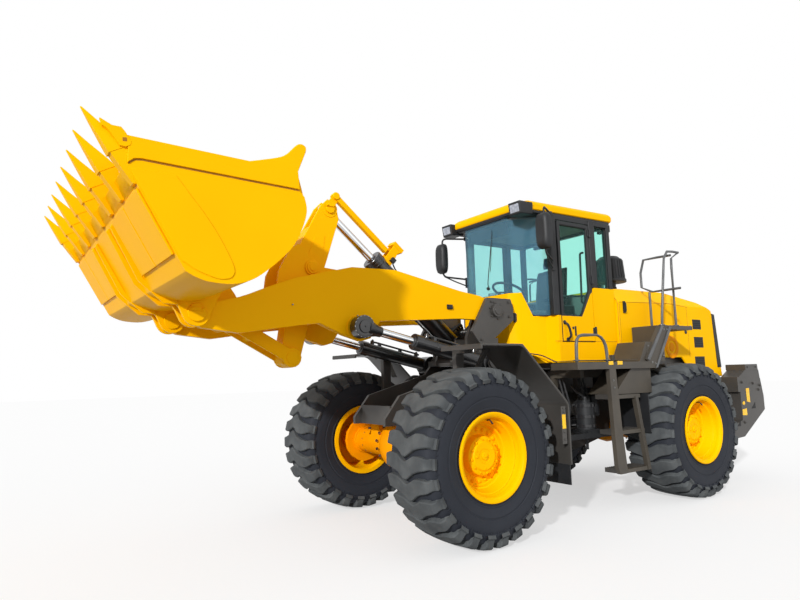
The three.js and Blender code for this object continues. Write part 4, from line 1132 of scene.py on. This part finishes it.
def make_interior():
    lining = Piece()
    lining.floor([(360, -420), (360, 420), (40, 620), (-925, 640), (-925, -640), (40, -620)], 3268, 3296)
    lining.box(150, 330, -180, 180, 3225, 3270)
    lining.done("cab_headliner", HEADLINER, "rear_unit", 10)
    visor = Piece()
    visor.slab([(330, -330, 3262), (330, 330, 3262), (350, 330, 3262), (350, -330, 3262)],
               [(300, -330, 3120), (300, 330, 3120), (308, 330, 3120), (308, -330, 3120)])
    visor.done("sun_visor", BLACK, "rear_unit", 3)
    desk = Piece()
    desk.slab([(118, -262, 1764), (332, -262, 1764), (332, 262, 1764), (118, 262, 1764)],
              [(96, -240, 2260), (300, -300, 2300), (300, 300, 2300), (96, 240, 2260)])
    desk.slab([(30, -170, 2290), (190, -170, 2250), (190, 170, 2250), (30, 170, 2290)],
              [(84, -150, 2400), (190, -150, 2360), (190, 150, 2360), (84, 150, 2400)])
    desk.box(-600, -160, -470, -330, 1764, 2330)
    desk.box(-640, -240, 330, 440, 1764, 2300)
    desk.done("dashboard_and_consoles", BLACK, "rear_unit", 12)
    screen = Piece()
    screen.taper((28, 40, -110, 110, 2302), (76, 88, -100, 100, 2394))
    screen.box(-120, -100, -520, -380, 2420, 2540)
    screen.done("instrument_glass", MIRROR, "rear_unit", 3)
    levers = Piece()
    for x, y, top in ((-300, -400, 2480), (-370, -380, 2470), (-440, -400, 2470), (-330, 380, 2440)):
        levers.tube([(x, y, 2320), (x + 10, y, 2400), (x + 20, y, top - 20)], 8, 30, 8)
        levers.knob((x + 20, y, top - 40), (x + 22, y, top + 24), 20, 8, 16)
    for y in (-110, 90, 170):
        levers.taper((110, 118, y - 35, y + 35, 1790), (60, 68, y - 30, y + 30, 1900))
    levers.tube([(-100, -520, 2300), (-110, -470, 2440), (-112, -450, 2480)], 10, 30, 8)
    levers.done("cab_levers_and_pedals", BLACK, "rear_unit", 2)
    mat = Piece()
    mat.box(-930, 20, -600, 600, 1763, 1776)
    for k in range(9):
        mat.box(-600 + 64 * k, -580 + 64 * k, -560, 560, 1775, 1780)
    mat.done("cab_floor_mat", RUBBER_AND_SHADE, "rear_unit", 1)
    rear = Piece()
    rear.box(-960, -800, -600, 600, 1764, 2440)
    rear.done("cab_rear_shelf", HEADLINER, "rear_unit", 14)
    wheel = Piece()
    centre, axis = Vector((40, 0, 2500)), Vector((0.435, 0, -0.9)).normalized()
    turn = Vector((0, 0, 1)).rotation_difference(axis)
    rim = [centre + turn @ Vector((196 * math.cos(t), 196 * math.sin(t), 0))
           for t in (2 * math.pi * k / 32 for k in range(32))]
    wheel.tube(rim, 16, 4, 12, closed=True)
    for k in range(3):
        t = 2 * math.pi * k / 3 + 0.5
        spoke = [(r * math.cos(t), r * math.sin(t), rise) for r, rise in ((40, 20), (120, 6), (188, 0))]
        wheel.tube([centre + turn @ Vector(q) for q in spoke], 11, 40, 10)
    wheel.knob(centre - axis * 6, centre + axis * 40, 52, 10, 28)
    wheel.knob(centre + axis * 30, Vector((170, 0, 2250)), 34, 4, 20)
    wheel.knob(Vector((150, 0, 2300)), Vector((230, 0, 1800)), 62, 12, 20)
    wheel.done("steering_wheel", BLACK, "rear_unit", replaces=("steering_column",))
    wiper = Piece()
    wiper.tube([(404, 40, 2520), (412, 40, 2560), (410, 120, 3010)], 5, 30, 8)
    wiper.tube([(408, 90, 2700), (411, 150, 3190)], 4, 20, 6)
    wiper.knob((396, 40, 2500), (420, 40, 2500), 20, 4, 16)
    wiper.done("windscreen_wiper", BLACK, "rear_unit", 1)


def cushion(name, corners, thick, crown, seams):
    """Crowned pad on four corners, thick in all, with its face higher by crown and stitched at seams."""
    a, b, c, d = (Vector(p) for p in corners)
    up = (b - a).cross(d - a).normalized()
    count = 22
    piece = Piece()
    bm = piece.mesh
    grid = {}
    for face in (0, 1):
        for i in range(count + 1):
            for j in range(count + 1):
                u, v = i / count, j / count
                edge = (1 - (2 * u - 1) ** 6) * (1 - (2 * v - 1) ** 6)
                pinch = 0.03 * (1 - 4 * (u - 0.5) ** 2) * (abs(2 * v - 1) ** 8)
                uu = u + (0.5 - u) * 0.05 * (1 - (2 * v - 1) ** 2) * (abs(2 * u - 1) ** 6)
                vv = v + (0.5 - v) * pinch
                p = a + (b - a) * uu + (d - a) * vv + (c - b - d + a) * uu * vv
                rise = thick * 0.5 * edge ** 0.4 + crown * edge * (1 if face else 0)
                if face:
                    for s in seams:
                        rise -= 9 * math.exp(-((v - s) * 60) ** 2) * min(1, edge * 2)
                        rise += 3 * math.exp(-((abs(v - s) - 0.045) * 50) ** 2) * edge
                grid[face, i, j] = p + up * (rise if face else -rise)
    verts = {}
    for (face, i, j), p in grid.items():
        border = i in (0, count) or j in (0, count)
        verts[face, i, j] = verts[0, i, j] if face and border else bm.verts.new(p)
    faces = []
    for face in (0, 1):
        for i in range(count):
            for j in range(count):
                quad = [verts[face, i, j], verts[face, i + 1, j], verts[face, i + 1, j + 1],
                        verts[face, i, j + 1]]
                faces.append(bm.faces.new(quad if face else quad[::-1]))
    bmesh.ops.recalc_face_normals(bm, faces=faces)
    obj = piece.done(name, FABRIC, "rear_unit")
    sub = obj.modifiers.new("smooth", "SUBSURF")
    sub.levels = sub.render_levels = 1
    return obj


def make_seat():
    low = cushion("seat_cushion",
                  [(-690, -245, 2160), (-215, -245, 2185), (-215, 245, 2185), (-690, 245, 2160)],
                  110, 26, (0.2, 0.8))
    cushion("seat_backrest", [(-668, -225, 2240), (-742, -215, 2820), (-742, 215, 2820), (-668, 225, 2240)],
            -120, -22, (0.2, 0.8))
    cushion("seat_headrest", [(-752, -130, 2840), (-772, -120, 2990), (-772, 120, 2990), (-752, 130, 2840)],
            -80, -12, ())
    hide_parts("seat")
    frame_parts = Piece()
    frame_parts.box(-690, -240, -225, 225, 2080, 2120)
    frame_parts.taper((-640, -300, -190, 190, 1776), (-620, -330, -170, 170, 2080))
    for k in range(6):
        z = 1810 + 44 * k
        frame_parts.box(-650, -292, -200, 200, z, z + 18)
    frame_parts.taper((-760, -735, -210, 210, 2240), (-832, -808, -200, 200, 2830))
    for s in (1, -1):
        frame_parts.box(-640, -300, *span(s, 262, 330), 2350, 2392)
        frame_parts.box(-690, -640, *span(s, 250, 300), 2200, 2392)
    frame_parts.done("seat_frame", BLACK, "rear_unit", 6)


make_roof()
make_cab_trim()
make_door()
make_mirrors()
make_interior()
make_seat()


# ---------------------------------------------------------------- hood, platforms and rear end
# intake openings at the rear of the hood, each a near-black tray of painted shade with louvre blades: x0,
# x1, z0, z1
VENT_TRAYS = [(-2812, -2596, 2014, 2160), (-2836, -2604, 1766, 1922), (-2840, -2592, 1513, 1657)]
EMBOSSED_RING = (-2080, 1776)
PRECLEANER = (-1750, 150)
EXHAUST = (-1990, -210)


def make_hood_sides():
    for side, s in SIDES:
        y = s * (HOOD_Y + 1)
        vents = Piece()
        # near-black trays: painted shade inside the openings
        for x0, x1, z0, z1 in VENT_TRAYS:
            vents.box(x0, x1, *span(s, 770, HOOD_Y + 1), z0, z1)
        vents.done(f"hood_vent_shade_trays_{side}", RUBBER_AND_SHADE, "rear_unit", 8)
        blades = Piece()
        for x0, x1, z0, z1 in VENT_TRAYS:
            for k in range(5):
                z = z0 + (z1 - z0) * (k + 0.7) / 5.4
                back, front = x0 + 14, x1 - 14
                inner, outer = y - s * 3, y + s * 4
                blades.slab(*([(back, inner, top), (front, inner, top), (front, outer, top - 5),
                               (back, outer, top - 5)] for top in (z, z + 5)))
        blades.done(f"hood_vent_blades_{side}", BLACK, "rear_unit", 1)
        # ring and disc in the deeper orange rather than the hood yellow: painted shade
        ring = Piece()
        centre = (EMBOSSED_RING[0], s * HOOD_Y, EMBOSSED_RING[1])
        ring.turned([(-2, 84), (5, 90), (9, 116), (5, 142), (-2, 148)], centre, (0, s, 0), 56, closed=True)
        ring.turned([(-2, 0), (4, 0), (6, 40), (4, 58), (-2, 62)], centre, (0, s, 0), 48)
        ring.done(f"hood_embossed_ring_{side}", AXLE_PAINT_AND_RING_SHADE, "rear_unit")
        seams = Piece()
        yy = s * (HOOD_Y - 0.4)
        seams.tube([(-1040, yy, 1650), (-1040, yy, 2318)], 2.6, 10, 6)
        seams.tube([(-1040, yy, 2322), (-2074, yy, 2350), (-2500, yy, 2318)], 2.6, 60, 6)
        seams.tube([(-2480, yy, 1640), (-2480, yy, 2316)], 2.6, 10, 6)
        seams.done(f"hood_panel_gaps_{side}", SEAM_AND_SHADE, "rear_unit")
        stripe = Piece()
        stripe.plate([(-3160, 2238), (-3092, 2250), (-3140, 1500), (-3234, 1500)],
                     *span(s, HOOD_Y - 1, HOOD_Y + 7))
        stripe.done(f"hood_rear_edge_{side}", BLACK, "rear_unit", 3)
        latch = Piece()
        latch.box(-1136, -1106, *span(s, HOOD_Y, HOOD_Y + 21), 2190, 2336)
        out = y + s * 34
        latch.tube([(-1121, y, 2200), (-1121, out, 2210), (-1121, out, 2310), (-1121, y, 2322)], 8, 16, 8)
        latch.knob((-2420, y - s * 2, 1980), (-2420, y + s * 8, 1980), 26, 3, 24)
        latch.done(f"hood_latch_{side}", BLACK, "rear_unit", 4)


def make_grille():
    """Bars in the sloping plane of the rear door."""
    grille = Piece()
    low, high = Vector((-3262, 0, 1440)), Vector((-3112, 0, 2262))
    for k in range(15):
        p = low.lerp(high, (k + 1) / 16)
        grille.box(p.x - 14, p.x - 2, -620, 620, p.z - 7, p.z + 7)
    for y in (-624, -208, 208, 624):
        grille.taper(*((p.x - 18, p.x - 2, y - 9, y + 9, p.z) for p in (low, high)))
    grille.box(-3214, -3186, 560, 610, 1820, 1900)
    grille.done("rear_grille_bars", BLACK, "rear_grille", 2)


def make_hood_top():
    """Ribbed pre-cleaner bowl with its clamp, exhaust outlet and cap."""
    x, y = PRECLEANER
    top = Piece()
    for k in range(28):
        a = 2 * math.pi * k / 28
        c, s = math.cos(a), math.sin(a)
        ends = []
        for inner, outer, z in ((190, 203, 2740), (172, 184, 2990)):
            ends.append([(x + r * c - w * s, y + r * s + w * c, z)
                         for r, w in ((inner, 5), (outer, 5), (outer, -5), (inner, -5))])
        top.slab(*ends)
    top.turned([(0, 74), (0, 82), (26, 82), (26, 74)], (x, y, 2600), (0, 0, 1), 32, closed=True)
    top.bolt((x, y + 82, 2613), (0, 1, 0), 12)
    top.done("precleaner_ribs", BLACK, "rear_unit", 1.5)
    stack = Piece()
    stack.turned([(0, 62), (250, 62), (262, 56), (262, 46), (0, 46)], (*EXHAUST, 2500), (0, 0, 1), 32,
                 closed=True)
    stack.turned([(0, 74), (0, 84), (16, 84), (16, 74)], (*EXHAUST, 2506), (0, 0, 1), 32, closed=True)
    stack.done("exhaust_outlet", CYLINDER, "rear_unit", 1)
    cap = Piece()
    cap.box(-2620, -2500, -80, 80, 2440, NOSE_TOP)
    cap.done("hood_top_cap", BLACK, "rear_unit", 8)


RIB_PITCH = 24
DECK_SIDE = 1187
STRINGER_SIDE = 1199
WEIGHT_SIDE = 1100


def make_platforms():
    for side, s in SIDES:
        tread = Piece()
        # raised grip ribs along each walking surface: its ends, inner rib, number of ribs and height
        for x0, x1, inner, count, z in ((-1866, -1240, 812, 16, 2009), (-1220, -944, 812, 15, 1811),
                                        (-780, 178, 776, 17, 1606)):
            for k in range(count):
                y = inner + RIB_PITCH * k
                tread.box(x0, x1, *span(s, y, y + 6), z, z + 5)
        tread.done(f"walkway_grip_ribs_{side}", DECK, "rear_unit", 1)
        rungs = Piece()
        for z, front in ((400, -345), (810, -300), (1190, -260)):
            for k in range(14):
                x = front - 24 - 33 * k
                rungs.box(x - 9, x, *span(s, 972, 1140), z + 39, z + 47)
            rungs.box(front - 4, front + 3, *span(s, 962, 1148), z - 4, z + 46)
        rungs.done(f"step_teeth_{side}", DARK, "rear_unit", 1)
        plates = Piece()
        plates.box(-1040, -950, *span(s, DECK_SIDE - 7, DECK_SIDE), 1640, 1780)
        plates.box(-1270, -1060, *span(s, DECK_SIDE - 7, DECK_SIDE), 1640, 1780)
        plates.done(f"deck_box_covers_{side}", DECK, "rear_unit", 4)
        bolts = Piece()
        for x, z in ((-1030, 1766), (-962, 1766), (-1255, 1766), (-1075, 1766), (-1255, 1654),
                     (-1075, 1654)):
            bolts.bolt((x, s * DECK_SIDE, z), (0, s, 0), 10)
        for x, z in ((-275, 1390), (-285, 1310), (-1000, 1580), (-1060, 1560), (-1330, 1960), (-1270, 1960)):
            bolts.bolt((x, s * 1200, z), (0, s, 0), 13)
        for x in (-1860, -1250):
            bolts.bolt((x, s * 1190, 2010), (0, 0, 1), 12)
        bolts.done(f"deck_bolts_{side}", STEEL, "rear_unit")
        reflectors = Piece()
        reflectors.box(-292, -216, *span(s, STRINGER_SIDE, STRINGER_SIDE + 5), 1556, 1596)
        reflectors.box(-452, -366, *span(s, STRINGER_SIDE, STRINGER_SIDE + 5), 1556, 1596)
        reflectors.done(f"deck_reflectors_{side}", REFLECTOR, "rear_unit", 2)
        channel = Piece()
        for edge in ([(-905, 1616), (-940, 1594), (-1270, 2004), (-1224, 2004)],
                     [(-1056, 1512), (-1090, 1518), (-1419, 1990), (-1376, 1996)]):
            channel.plate(edge, *span(s, STRINGER_SIDE, STRINGER_SIDE + 15))
        channel.done(f"deck_stringer_flanges_{side}", RAIL, "rear_unit", 3)
        feet = Piece()
        for x, z in ((264, 1606), (-230, 1606)):
            feet.rod((x, s * 1175, z), (x, s * 1175, z + 9), 34, sides=24)
        for x, y in ((-1281, 1180), (-1570, 1180), (-1570, 856)):
            feet.rod((x, s * y, 2010), (x, s * y, 2020), 34, sides=24)
            feet.bolt((x + 26, s * y, 2018), (0, 0, 1), 8, washer=False)
        feet.done(f"rail_feet_{side}", RAIL, "rear_unit", 1)
        flap = Piece()
        inner, outer = s * 820, s * 1230
        flap.slab([(-830, inner, 1230), (-838, inner, 1226), (-838, outer, 1226), (-830, outer, 1230)],
                  [(-836, inner, 800), (-844, inner, 796), (-844, outer, 796), (-836, outer, 800)])
        flap.done(f"rear_mudflap_{side}", BLACK, "rear_unit", 2)


def make_cab_supports():
    """Cross members, long beams and mounts under the cab floor, seen through the gap over the deck."""
    beams = Piece()
    for x in (-880, -600, -330):
        beams.box(x, x + 46, -690, 690, 1548, 1640)
    for s in (1, -1):
        beams.box(-900, -300, *span(s, 640, 690), 1500, 1560)
        beams.box(-2500, -1060, *span(s, 640, 690), 1560, 1740)
        for x in (-860, -350):
            beams.knob((x, s * 665, 1560), (x, s * 665, 1636), 46, 6, 24)
    beams.done("cab_floor_beams", DARK, "rear_unit", 3)


def make_counterweight():
    for side, s in SIDES:
        for colour, mat, inner in (("red", RED, 850), ("amber", AMBER, 960)):
            lamp = Piece()
            lamp.box(-3608, -3598, *span(s, inner, inner + 100), 1462, 1522)
            lamp.done(f"tail_lamp_{colour}_{side}", mat, "rear_unit", 4)
        strips = Piece()
        for patch in ([(-3225, 1028), (-3222, 1206), (-3300, 1206), (-3304, 1014)],
                      [(-3086, 854), (-3086, 930), (-3196, 938), (-3196, 848)]):
            strips.plate(patch, *span(s, WEIGHT_SIDE, WEIGHT_SIDE + 4))
        strips.knob((-3136, s * (WEIGHT_SIDE - 1), 1012), (-3136, s * (WEIGHT_SIDE + 5), 1012), 26, 2, 24)
        strips.plate([(-3676.5, 1150), (-3665.5, 1200), (-3670, 1201), (-3681, 1151)], *span(s, 640, 940))
        strips.done(f"counterweight_reflectors_{side}", REFLECTOR, "rear_unit", 1)
        # near-black triangles standing a little proud: painted shade of the pockets in the counterweight
        pocket_shade = Piece()
        for pocket in ([(-3330, 930), (-3430, 1010), (-3440, 930)],
                       [(-2930, 720), (-3010, 790), (-3010, 716)]):
            pocket_shade.plate(pocket, *span(s, WEIGHT_SIDE, WEIGHT_SIDE + 3))
        pocket_shade.done(f"counterweight_pocket_shade_{side}", RUBBER_AND_SHADE, "rear_unit", 1)
        bolts = Piece()
        for x, z in ((-3130, 1290), (-3420, 1270), (-3600, 1240), (-3120, 760), (-3560, 1180)):
            bolts.bolt((x, s * WEIGHT_SIDE, z), (0, s, 0), 22)
        for x in (-3320, -3540):
            bolts.bolt((x, s * (WEIGHT_SIDE - 1), 1492), (0, s, 0), 14)
        bolts.done(f"counterweight_bolts_{side}", DARK, "rear_unit")
    eyes = Piece()
    for y in (620, -620):
        eyes.tube([(-3200, y, 1350), (-3200, y, 1420), (-3320, y, 1420), (-3320, y, 1345)], 18, 50, 12)
    eyes.done("counterweight_lifting_eyes", DARK, "rear_unit")


make_hood_sides()
make_grille()
make_hood_top()
make_platforms()
make_cab_supports()
make_counterweight()


# ---------------------------------------------------------------- front frame, fenders and running gear
HOSE_R = 15
TILT_HOSES_Y = (120, 165, 210)
AIR_TANK = (-215, 850)
FRAME_SIDE = 315
DRIVELINE_Z = 766
# outline of a universal joint: (along, radius)
YOKE = [(-44, 50), (-30, 74), (-14, 78), (14, 78), (30, 74), (44, 50)]


def make_front_frame():
    bolts = Piece()
    for a in range(6):
        t = 2 * math.pi * a / 6 + 0.3
        at = (BOOM_PIVOT[0] + 92 * math.cos(t), TOWER_OUT, BOOM_PIVOT[1] + 92 * math.sin(t))
        bolts.bolt(at, (0, 1, 0), 15)
    for x, z in ((520, 2280), (780, 2280), (520, 2120), (940, 1860), (860, 1760)):
        bolts.bolt((x, TOWER_OUT, z), (0, 1, 0), 18)
    for x, z in ((500, 1500), (700, 1540), (900, 1540), (1100, 1460), (1400, 1360), (1700, 1300),
                 (420, 760), (760, 700), (1120, 760)):
        bolts.bolt((x, FRAME_SIDE, z), (0, 1, 0), 22)
    bolts.mirror().done("front_frame_bolts", DARK, "front_unit")
    hubs = Piece()
    for s in (1, -1):
        for (x, z), y0, y1, radius, edge, sides in ((BOOM_PIVOT, 498, 516, 72, 5, 36),
                                                    (BOOM_PIVOT, 514, 524, 46, 3, 28),
                                                    (LIFT_FOOT, 637, 652, 58, 4, 28)):
            hubs.knob((x, s * y0, z), (x, s * y1, z), radius, edge, sides)
        hubs.box(880, 982, *span(s, 650, 660), 1652, 1680)
        hubs.bolt((896, s * 660, 1666), (0, s, 0), 13)
        hubs.bolt((966, s * 660, 1666), (0, s, 0), 13)
    hubs.done("tower_pin_ends", DARK, "front_unit", 1.5)
    pivot = Piece()
    for z0, z1, face, up in ((1251, 1275, 1275, 1), (592, 617, 592, -1)):
        pivot.knob((0, 0, z0), (0, 0, z1), 96, 5, 36)
        pivot.circle((0, 0, face), (0, 0, up), 74, 6, 18)
    pivot.done("articulation_pin_caps", DARK, "front_unit", 1)
    front_shaft = Piece()
    front_shaft.rod((330, 0, 740), (1340, 0, 760), 42, sides=24)
    for x, z in ((350, 740), (760, 748), (1290, 759)):
        front_shaft.turned(YOKE, (x, 0, z), (1, 0, 0), 24)
    front_shaft.done("front_driveshaft", DARK, "front_unit", 1)
    rear_shaft = Piece()
    rear_shaft.rod((-1330, 0, 760), (-1150, 0, 770), 42, sides=24)
    for x in (-1290, -1190):
        rear_shaft.turned(YOKE, (x, 0, DRIVELINE_Z), (1, 0, 0), 24)
    rear_shaft.done("rear_driveshaft", DARK, "rear_unit", 1)


def make_fenders():
    for side, s in SIDES:
        lip = Piece()
        edge = [(1749, 1724), (1749, 1753), (1253, 1753), (704, 1216), (681, 1176), (681, 626)]
        for y in (824, 1386):
            lip.tube([(x, s * y, z) for x, z in edge], 10, 60, 8)
        lip.done(f"fender_rolled_edge_{side}", DARK, "front_unit")
        strut = Piece()
        strut.plate([(724, 1170), (786, 1170), (786, 820), (724, 820)], *span(s, 1382, 1389))
        for z in (1150, 1120, 930, 860):
            strut.bolt((755, s * 1389, z), (0, s, 0), 12)
        strut.done(f"fender_side_plate_{side}", DARK, "front_unit", 2)
        mark = Piece()
        mark.box(732, 778, *span(s, 1388, 1393), 962, 1094)
        mark.done(f"fender_reflector_{side}", REFLECTOR, "front_unit", 2)
        braces = Piece()
        braces.taper((1250, 1300, s * 700, s * 740, 1480), (1250, 1300, s * 900, s * 940, 1742))
        for x in (1395, 1465):
            for z in (1255, 1285):
                braces.bolt((x, s * 700, z + 60), (0, s, 0), 14)
        braces.done(f"fender_braces_{side}", DARK, "front_unit", 3)
        flap = Piece()
        flap.box(672, 684, *span(s, 840, 1370), 430, 640)
        flap.done(f"front_mudflap_{side}", BLACK, "front_unit", 2)


def make_axles():
    for x, body, nose in ((AXLE_X, "front_unit", -1), (-AXLE_X, "rear_unit", 1)):
        where = "front" if x > 0 else "rear"
        bolts = Piece()
        for s in (1, -1):
            for y, r, n in ((250, 190, 14), (640, 128, 12)):
                bolts.circle((x, s * y, TYRE_R), (0, s, 0), r, n, 17, 0.2)
        bolts.circle((x + nose * 312, 0, TYRE_R), (nose, 0, 0), 118, 8, 18)
        for dx in (-140, -60, 60, 140):
            for y in (342, -342):
                bolts.bolt((x + dx, y, 985), (0, 0, 1), 26)
        bolts.done(f"{where}_axle_bolts", STEEL, body)
        cover = Piece()
        cover.turned([(0, 205), (16, 205), (24, 196), (60, 150), (84, 90), (92, 0)],
                     (x - nose * 160, 0, TYRE_R), (-nose, 0, 0), 40)
        cover.circle((x - nose * 170, 0, TYRE_R), (-nose, 0, 0), 188, 14, 15)
        cover.done(f"{where}_axle_cover", AXLE_PAINT_AND_RING_SHADE, body, 2)
        lines = Piece()
        for s in (1, -1):
            lines.tube([(x + 40, s * 640, 900), (x + 60, s * 420, 940), (x + 70, s * 120, 1010),
                        (x + 40, 0, 1040)], 9, 80, 8)
            lines.knob((x + 40, s * 620, 880), (x + 40, s * 620, 930), 20, 3, 14)
        lines.done(f"{where}_brake_lines", HOSE, body)


def make_hoses():
    tower = Piece()
    # hoses from the main valve up to the tilt cylinder, out to the tower, and forward in the frame
    for k, y in enumerate(TILT_HOSES_Y):
        tower.tube([(670, y, 1640), (664, y, 1900 + 30 * k), (720, y, 2100 - 20 * k), (810, y, 2020),
                    (920, y, 1950)], HOSE_R, 120, 10)
    for k in range(2):
        tower.tube([(700, 250, 1640 + 40 * k), (680, 330, 1700 + 30 * k), (760, 372, 1720),
                    (880, 378, 1660)], HOSE_R, 80, 10)
        tower.tube([(1130, 290 + 50 * k, 1440), (1240, 330 + 30 * k, 1500), (1400, 340, 1420),
                    (1500, 330, 1300)], HOSE_R, 90, 10)
    tower.mirror().done("front_frame_hoses", HOSE, "front_unit")
    fittings = Piece()
    for y in TILT_HOSES_Y:
        fittings.rod((670, y, 1600), (670, y, 1660), 22, sides=6)
        fittings.rod((896, y, 1962), (926, y, 1948), 21, sides=6)
    fittings.mirror().done("hose_fittings", STEEL, "front_unit", 1)
    valve = Piece()
    valve.box(600, 760, -260, 260, 1500, 1610)
    for y in TILT_HOSES_Y:
        for s in (1, -1):
            valve.knob((600, s * y, 1560), (568, s * y, 1560), 24, 4, 16)
    valve.done("main_valve", DARK, "front_unit", 6)
    rear = Piece()
    for k, y in enumerate((500, 560, 620)):
        rear.tube([(-620, y, 1120 + 60 * k), (-520, y + 30, 1180 + 40 * k), (-400, y + 50, 1120),
                   (-300, y + 20, 1060 + 30 * k), (-250, y - 20, 1100)], HOSE_R, 110, 10)
    for k, x in enumerate((-460, -400, -120, -60)):
        rear.tube([(x, 640, 1410), (x + 20, 700, 1250), (x - 10, 730, 1050), (x, 640, 900)], 12, 110, 8)
    rear.mirror().done("midship_hoses", HOSE, "rear_unit")
    filters = Piece()
    for x, y in ((-620, 640), (-500, 600)):
        filters.turned([(0, 0), (0, 58), (8, 66), (226, 66), (234, 60), (250, 60), (250, 74), (286, 74),
                        (286, 0)], (x, y, 980), (0, 0, 1), 28)
    filters.box(-700, -420, 520, 720, 1262, 1300)
    filters.done("midship_filters", BLACK, "rear_unit", 2)
    tank = Piece()
    for z in (900, 1000, 1120):
        tank.turned([(-16, 101), (-16, 108), (16, 108), (16, 101)], (*AIR_TANK, z), (0, 0, 1), 36,
                    closed=True)
    tank.knob((*AIR_TANK, 1170), (*AIR_TANK, 1215), 28, 4, 16)
    tank.tube([(*AIR_TANK, 1200), (-215, 800, 1240), (-260, 700, 1260), (-300, 600, 1330)], 11, 60, 8)
    tank.mirror().done("air_tank_bands", CYLINDER, "rear_unit", 1)


make_front_frame()
make_fenders()
make_axles()
make_hoses()


# ---------------------------------------------------------------- floor, backdrop and light
WORLD_LIGHT = 0.62
FLOOR_GREY = 0.42
FLOOR_WHITE = 0.55
FLOOR_REACH = 60
# name, direction of travel of the light, strength, spread in degrees
LAMPS = [
    ("key", (-0.80, -0.53, -0.38), 3.2, 2.5),
    ("fill", (0.35, -0.9, -0.25), 0.3, 40),
]


def white_rays(nodes, links):
    """1 on the rays that show the backdrop: seen directly, mirrored, or through glass."""
    path = nodes.new("ShaderNodeLightPath")
    total = path.outputs["Is Camera Ray"]
    for ray in ("Is Glossy Ray", "Is Transmission Ray"):
        both = nodes.new("ShaderNodeMath")
        both.operation = "MAXIMUM"
        links.new(total, both.inputs[0])
        links.new(path.outputs[ray], both.inputs[1])
        total = both.outputs["Value"]
    return total


def between_values(nodes, links, switch, low, high):
    """low where the switch is 0 and high where it is 1."""
    level = nodes.new("ShaderNodeMapRange")
    level.inputs["To Min"].default_value = low
    level.inputs["To Max"].default_value = high
    links.new(switch, level.inputs["Value"])
    return level.outputs["Result"]


def make_stage():
    data = bpy.data.meshes.new("studio_floor")
    r = FLOOR_REACH
    data.from_pydata([(x, y, -0.001) for x, y in ((-r, -r), (r, -r), (r, r), (-r, r))], [], [(0, 1, 2, 3)])
    floor = bpy.data.objects.new("studio_floor", data)
    SCENE.collection.objects.link(floor)
    mat, nodes, links, shader = blank("studio_floor")
    shader.inputs["Base Color"].default_value = (FLOOR_GREY, FLOOR_GREY, FLOOR_GREY, 1)
    shader.inputs["Roughness"].default_value = 0.9
    shader.inputs["Specular IOR Level"].default_value = 0.0
    shader.inputs["Emission Color"].default_value = (1, 1, 1, 1)
    links.new(between_values(nodes, links, white_rays(nodes, links), 0.0, FLOOR_WHITE),
              shader.inputs["Emission Strength"])
    data.materials.append(mat)


def make_light():
    world = bpy.data.worlds.new("studio")
    SCENE.world = world
    world.use_nodes = True
    nodes, links = world.node_tree.nodes, world.node_tree.links
    back = nodes["Background"]
    strength = between_values(nodes, links, white_rays(nodes, links), WORLD_LIGHT, 1.0)
    links.new(strength, back.inputs["Strength"])
    back.inputs["Color"].default_value = (1, 1, 1, 1)
    for name, direction, strength, angle in LAMPS:
        data = bpy.data.lights.new(name, "SUN")
        data.energy = strength
        data.angle = math.radians(angle)
        lamp = bpy.data.objects.new(name, data)
        SCENE.collection.objects.link(lamp)
        lamp.rotation_mode = "QUATERNION"
        lamp.rotation_quaternion = Vector(direction).to_track_quat("-Z", "Y")


make_stage()
make_light()
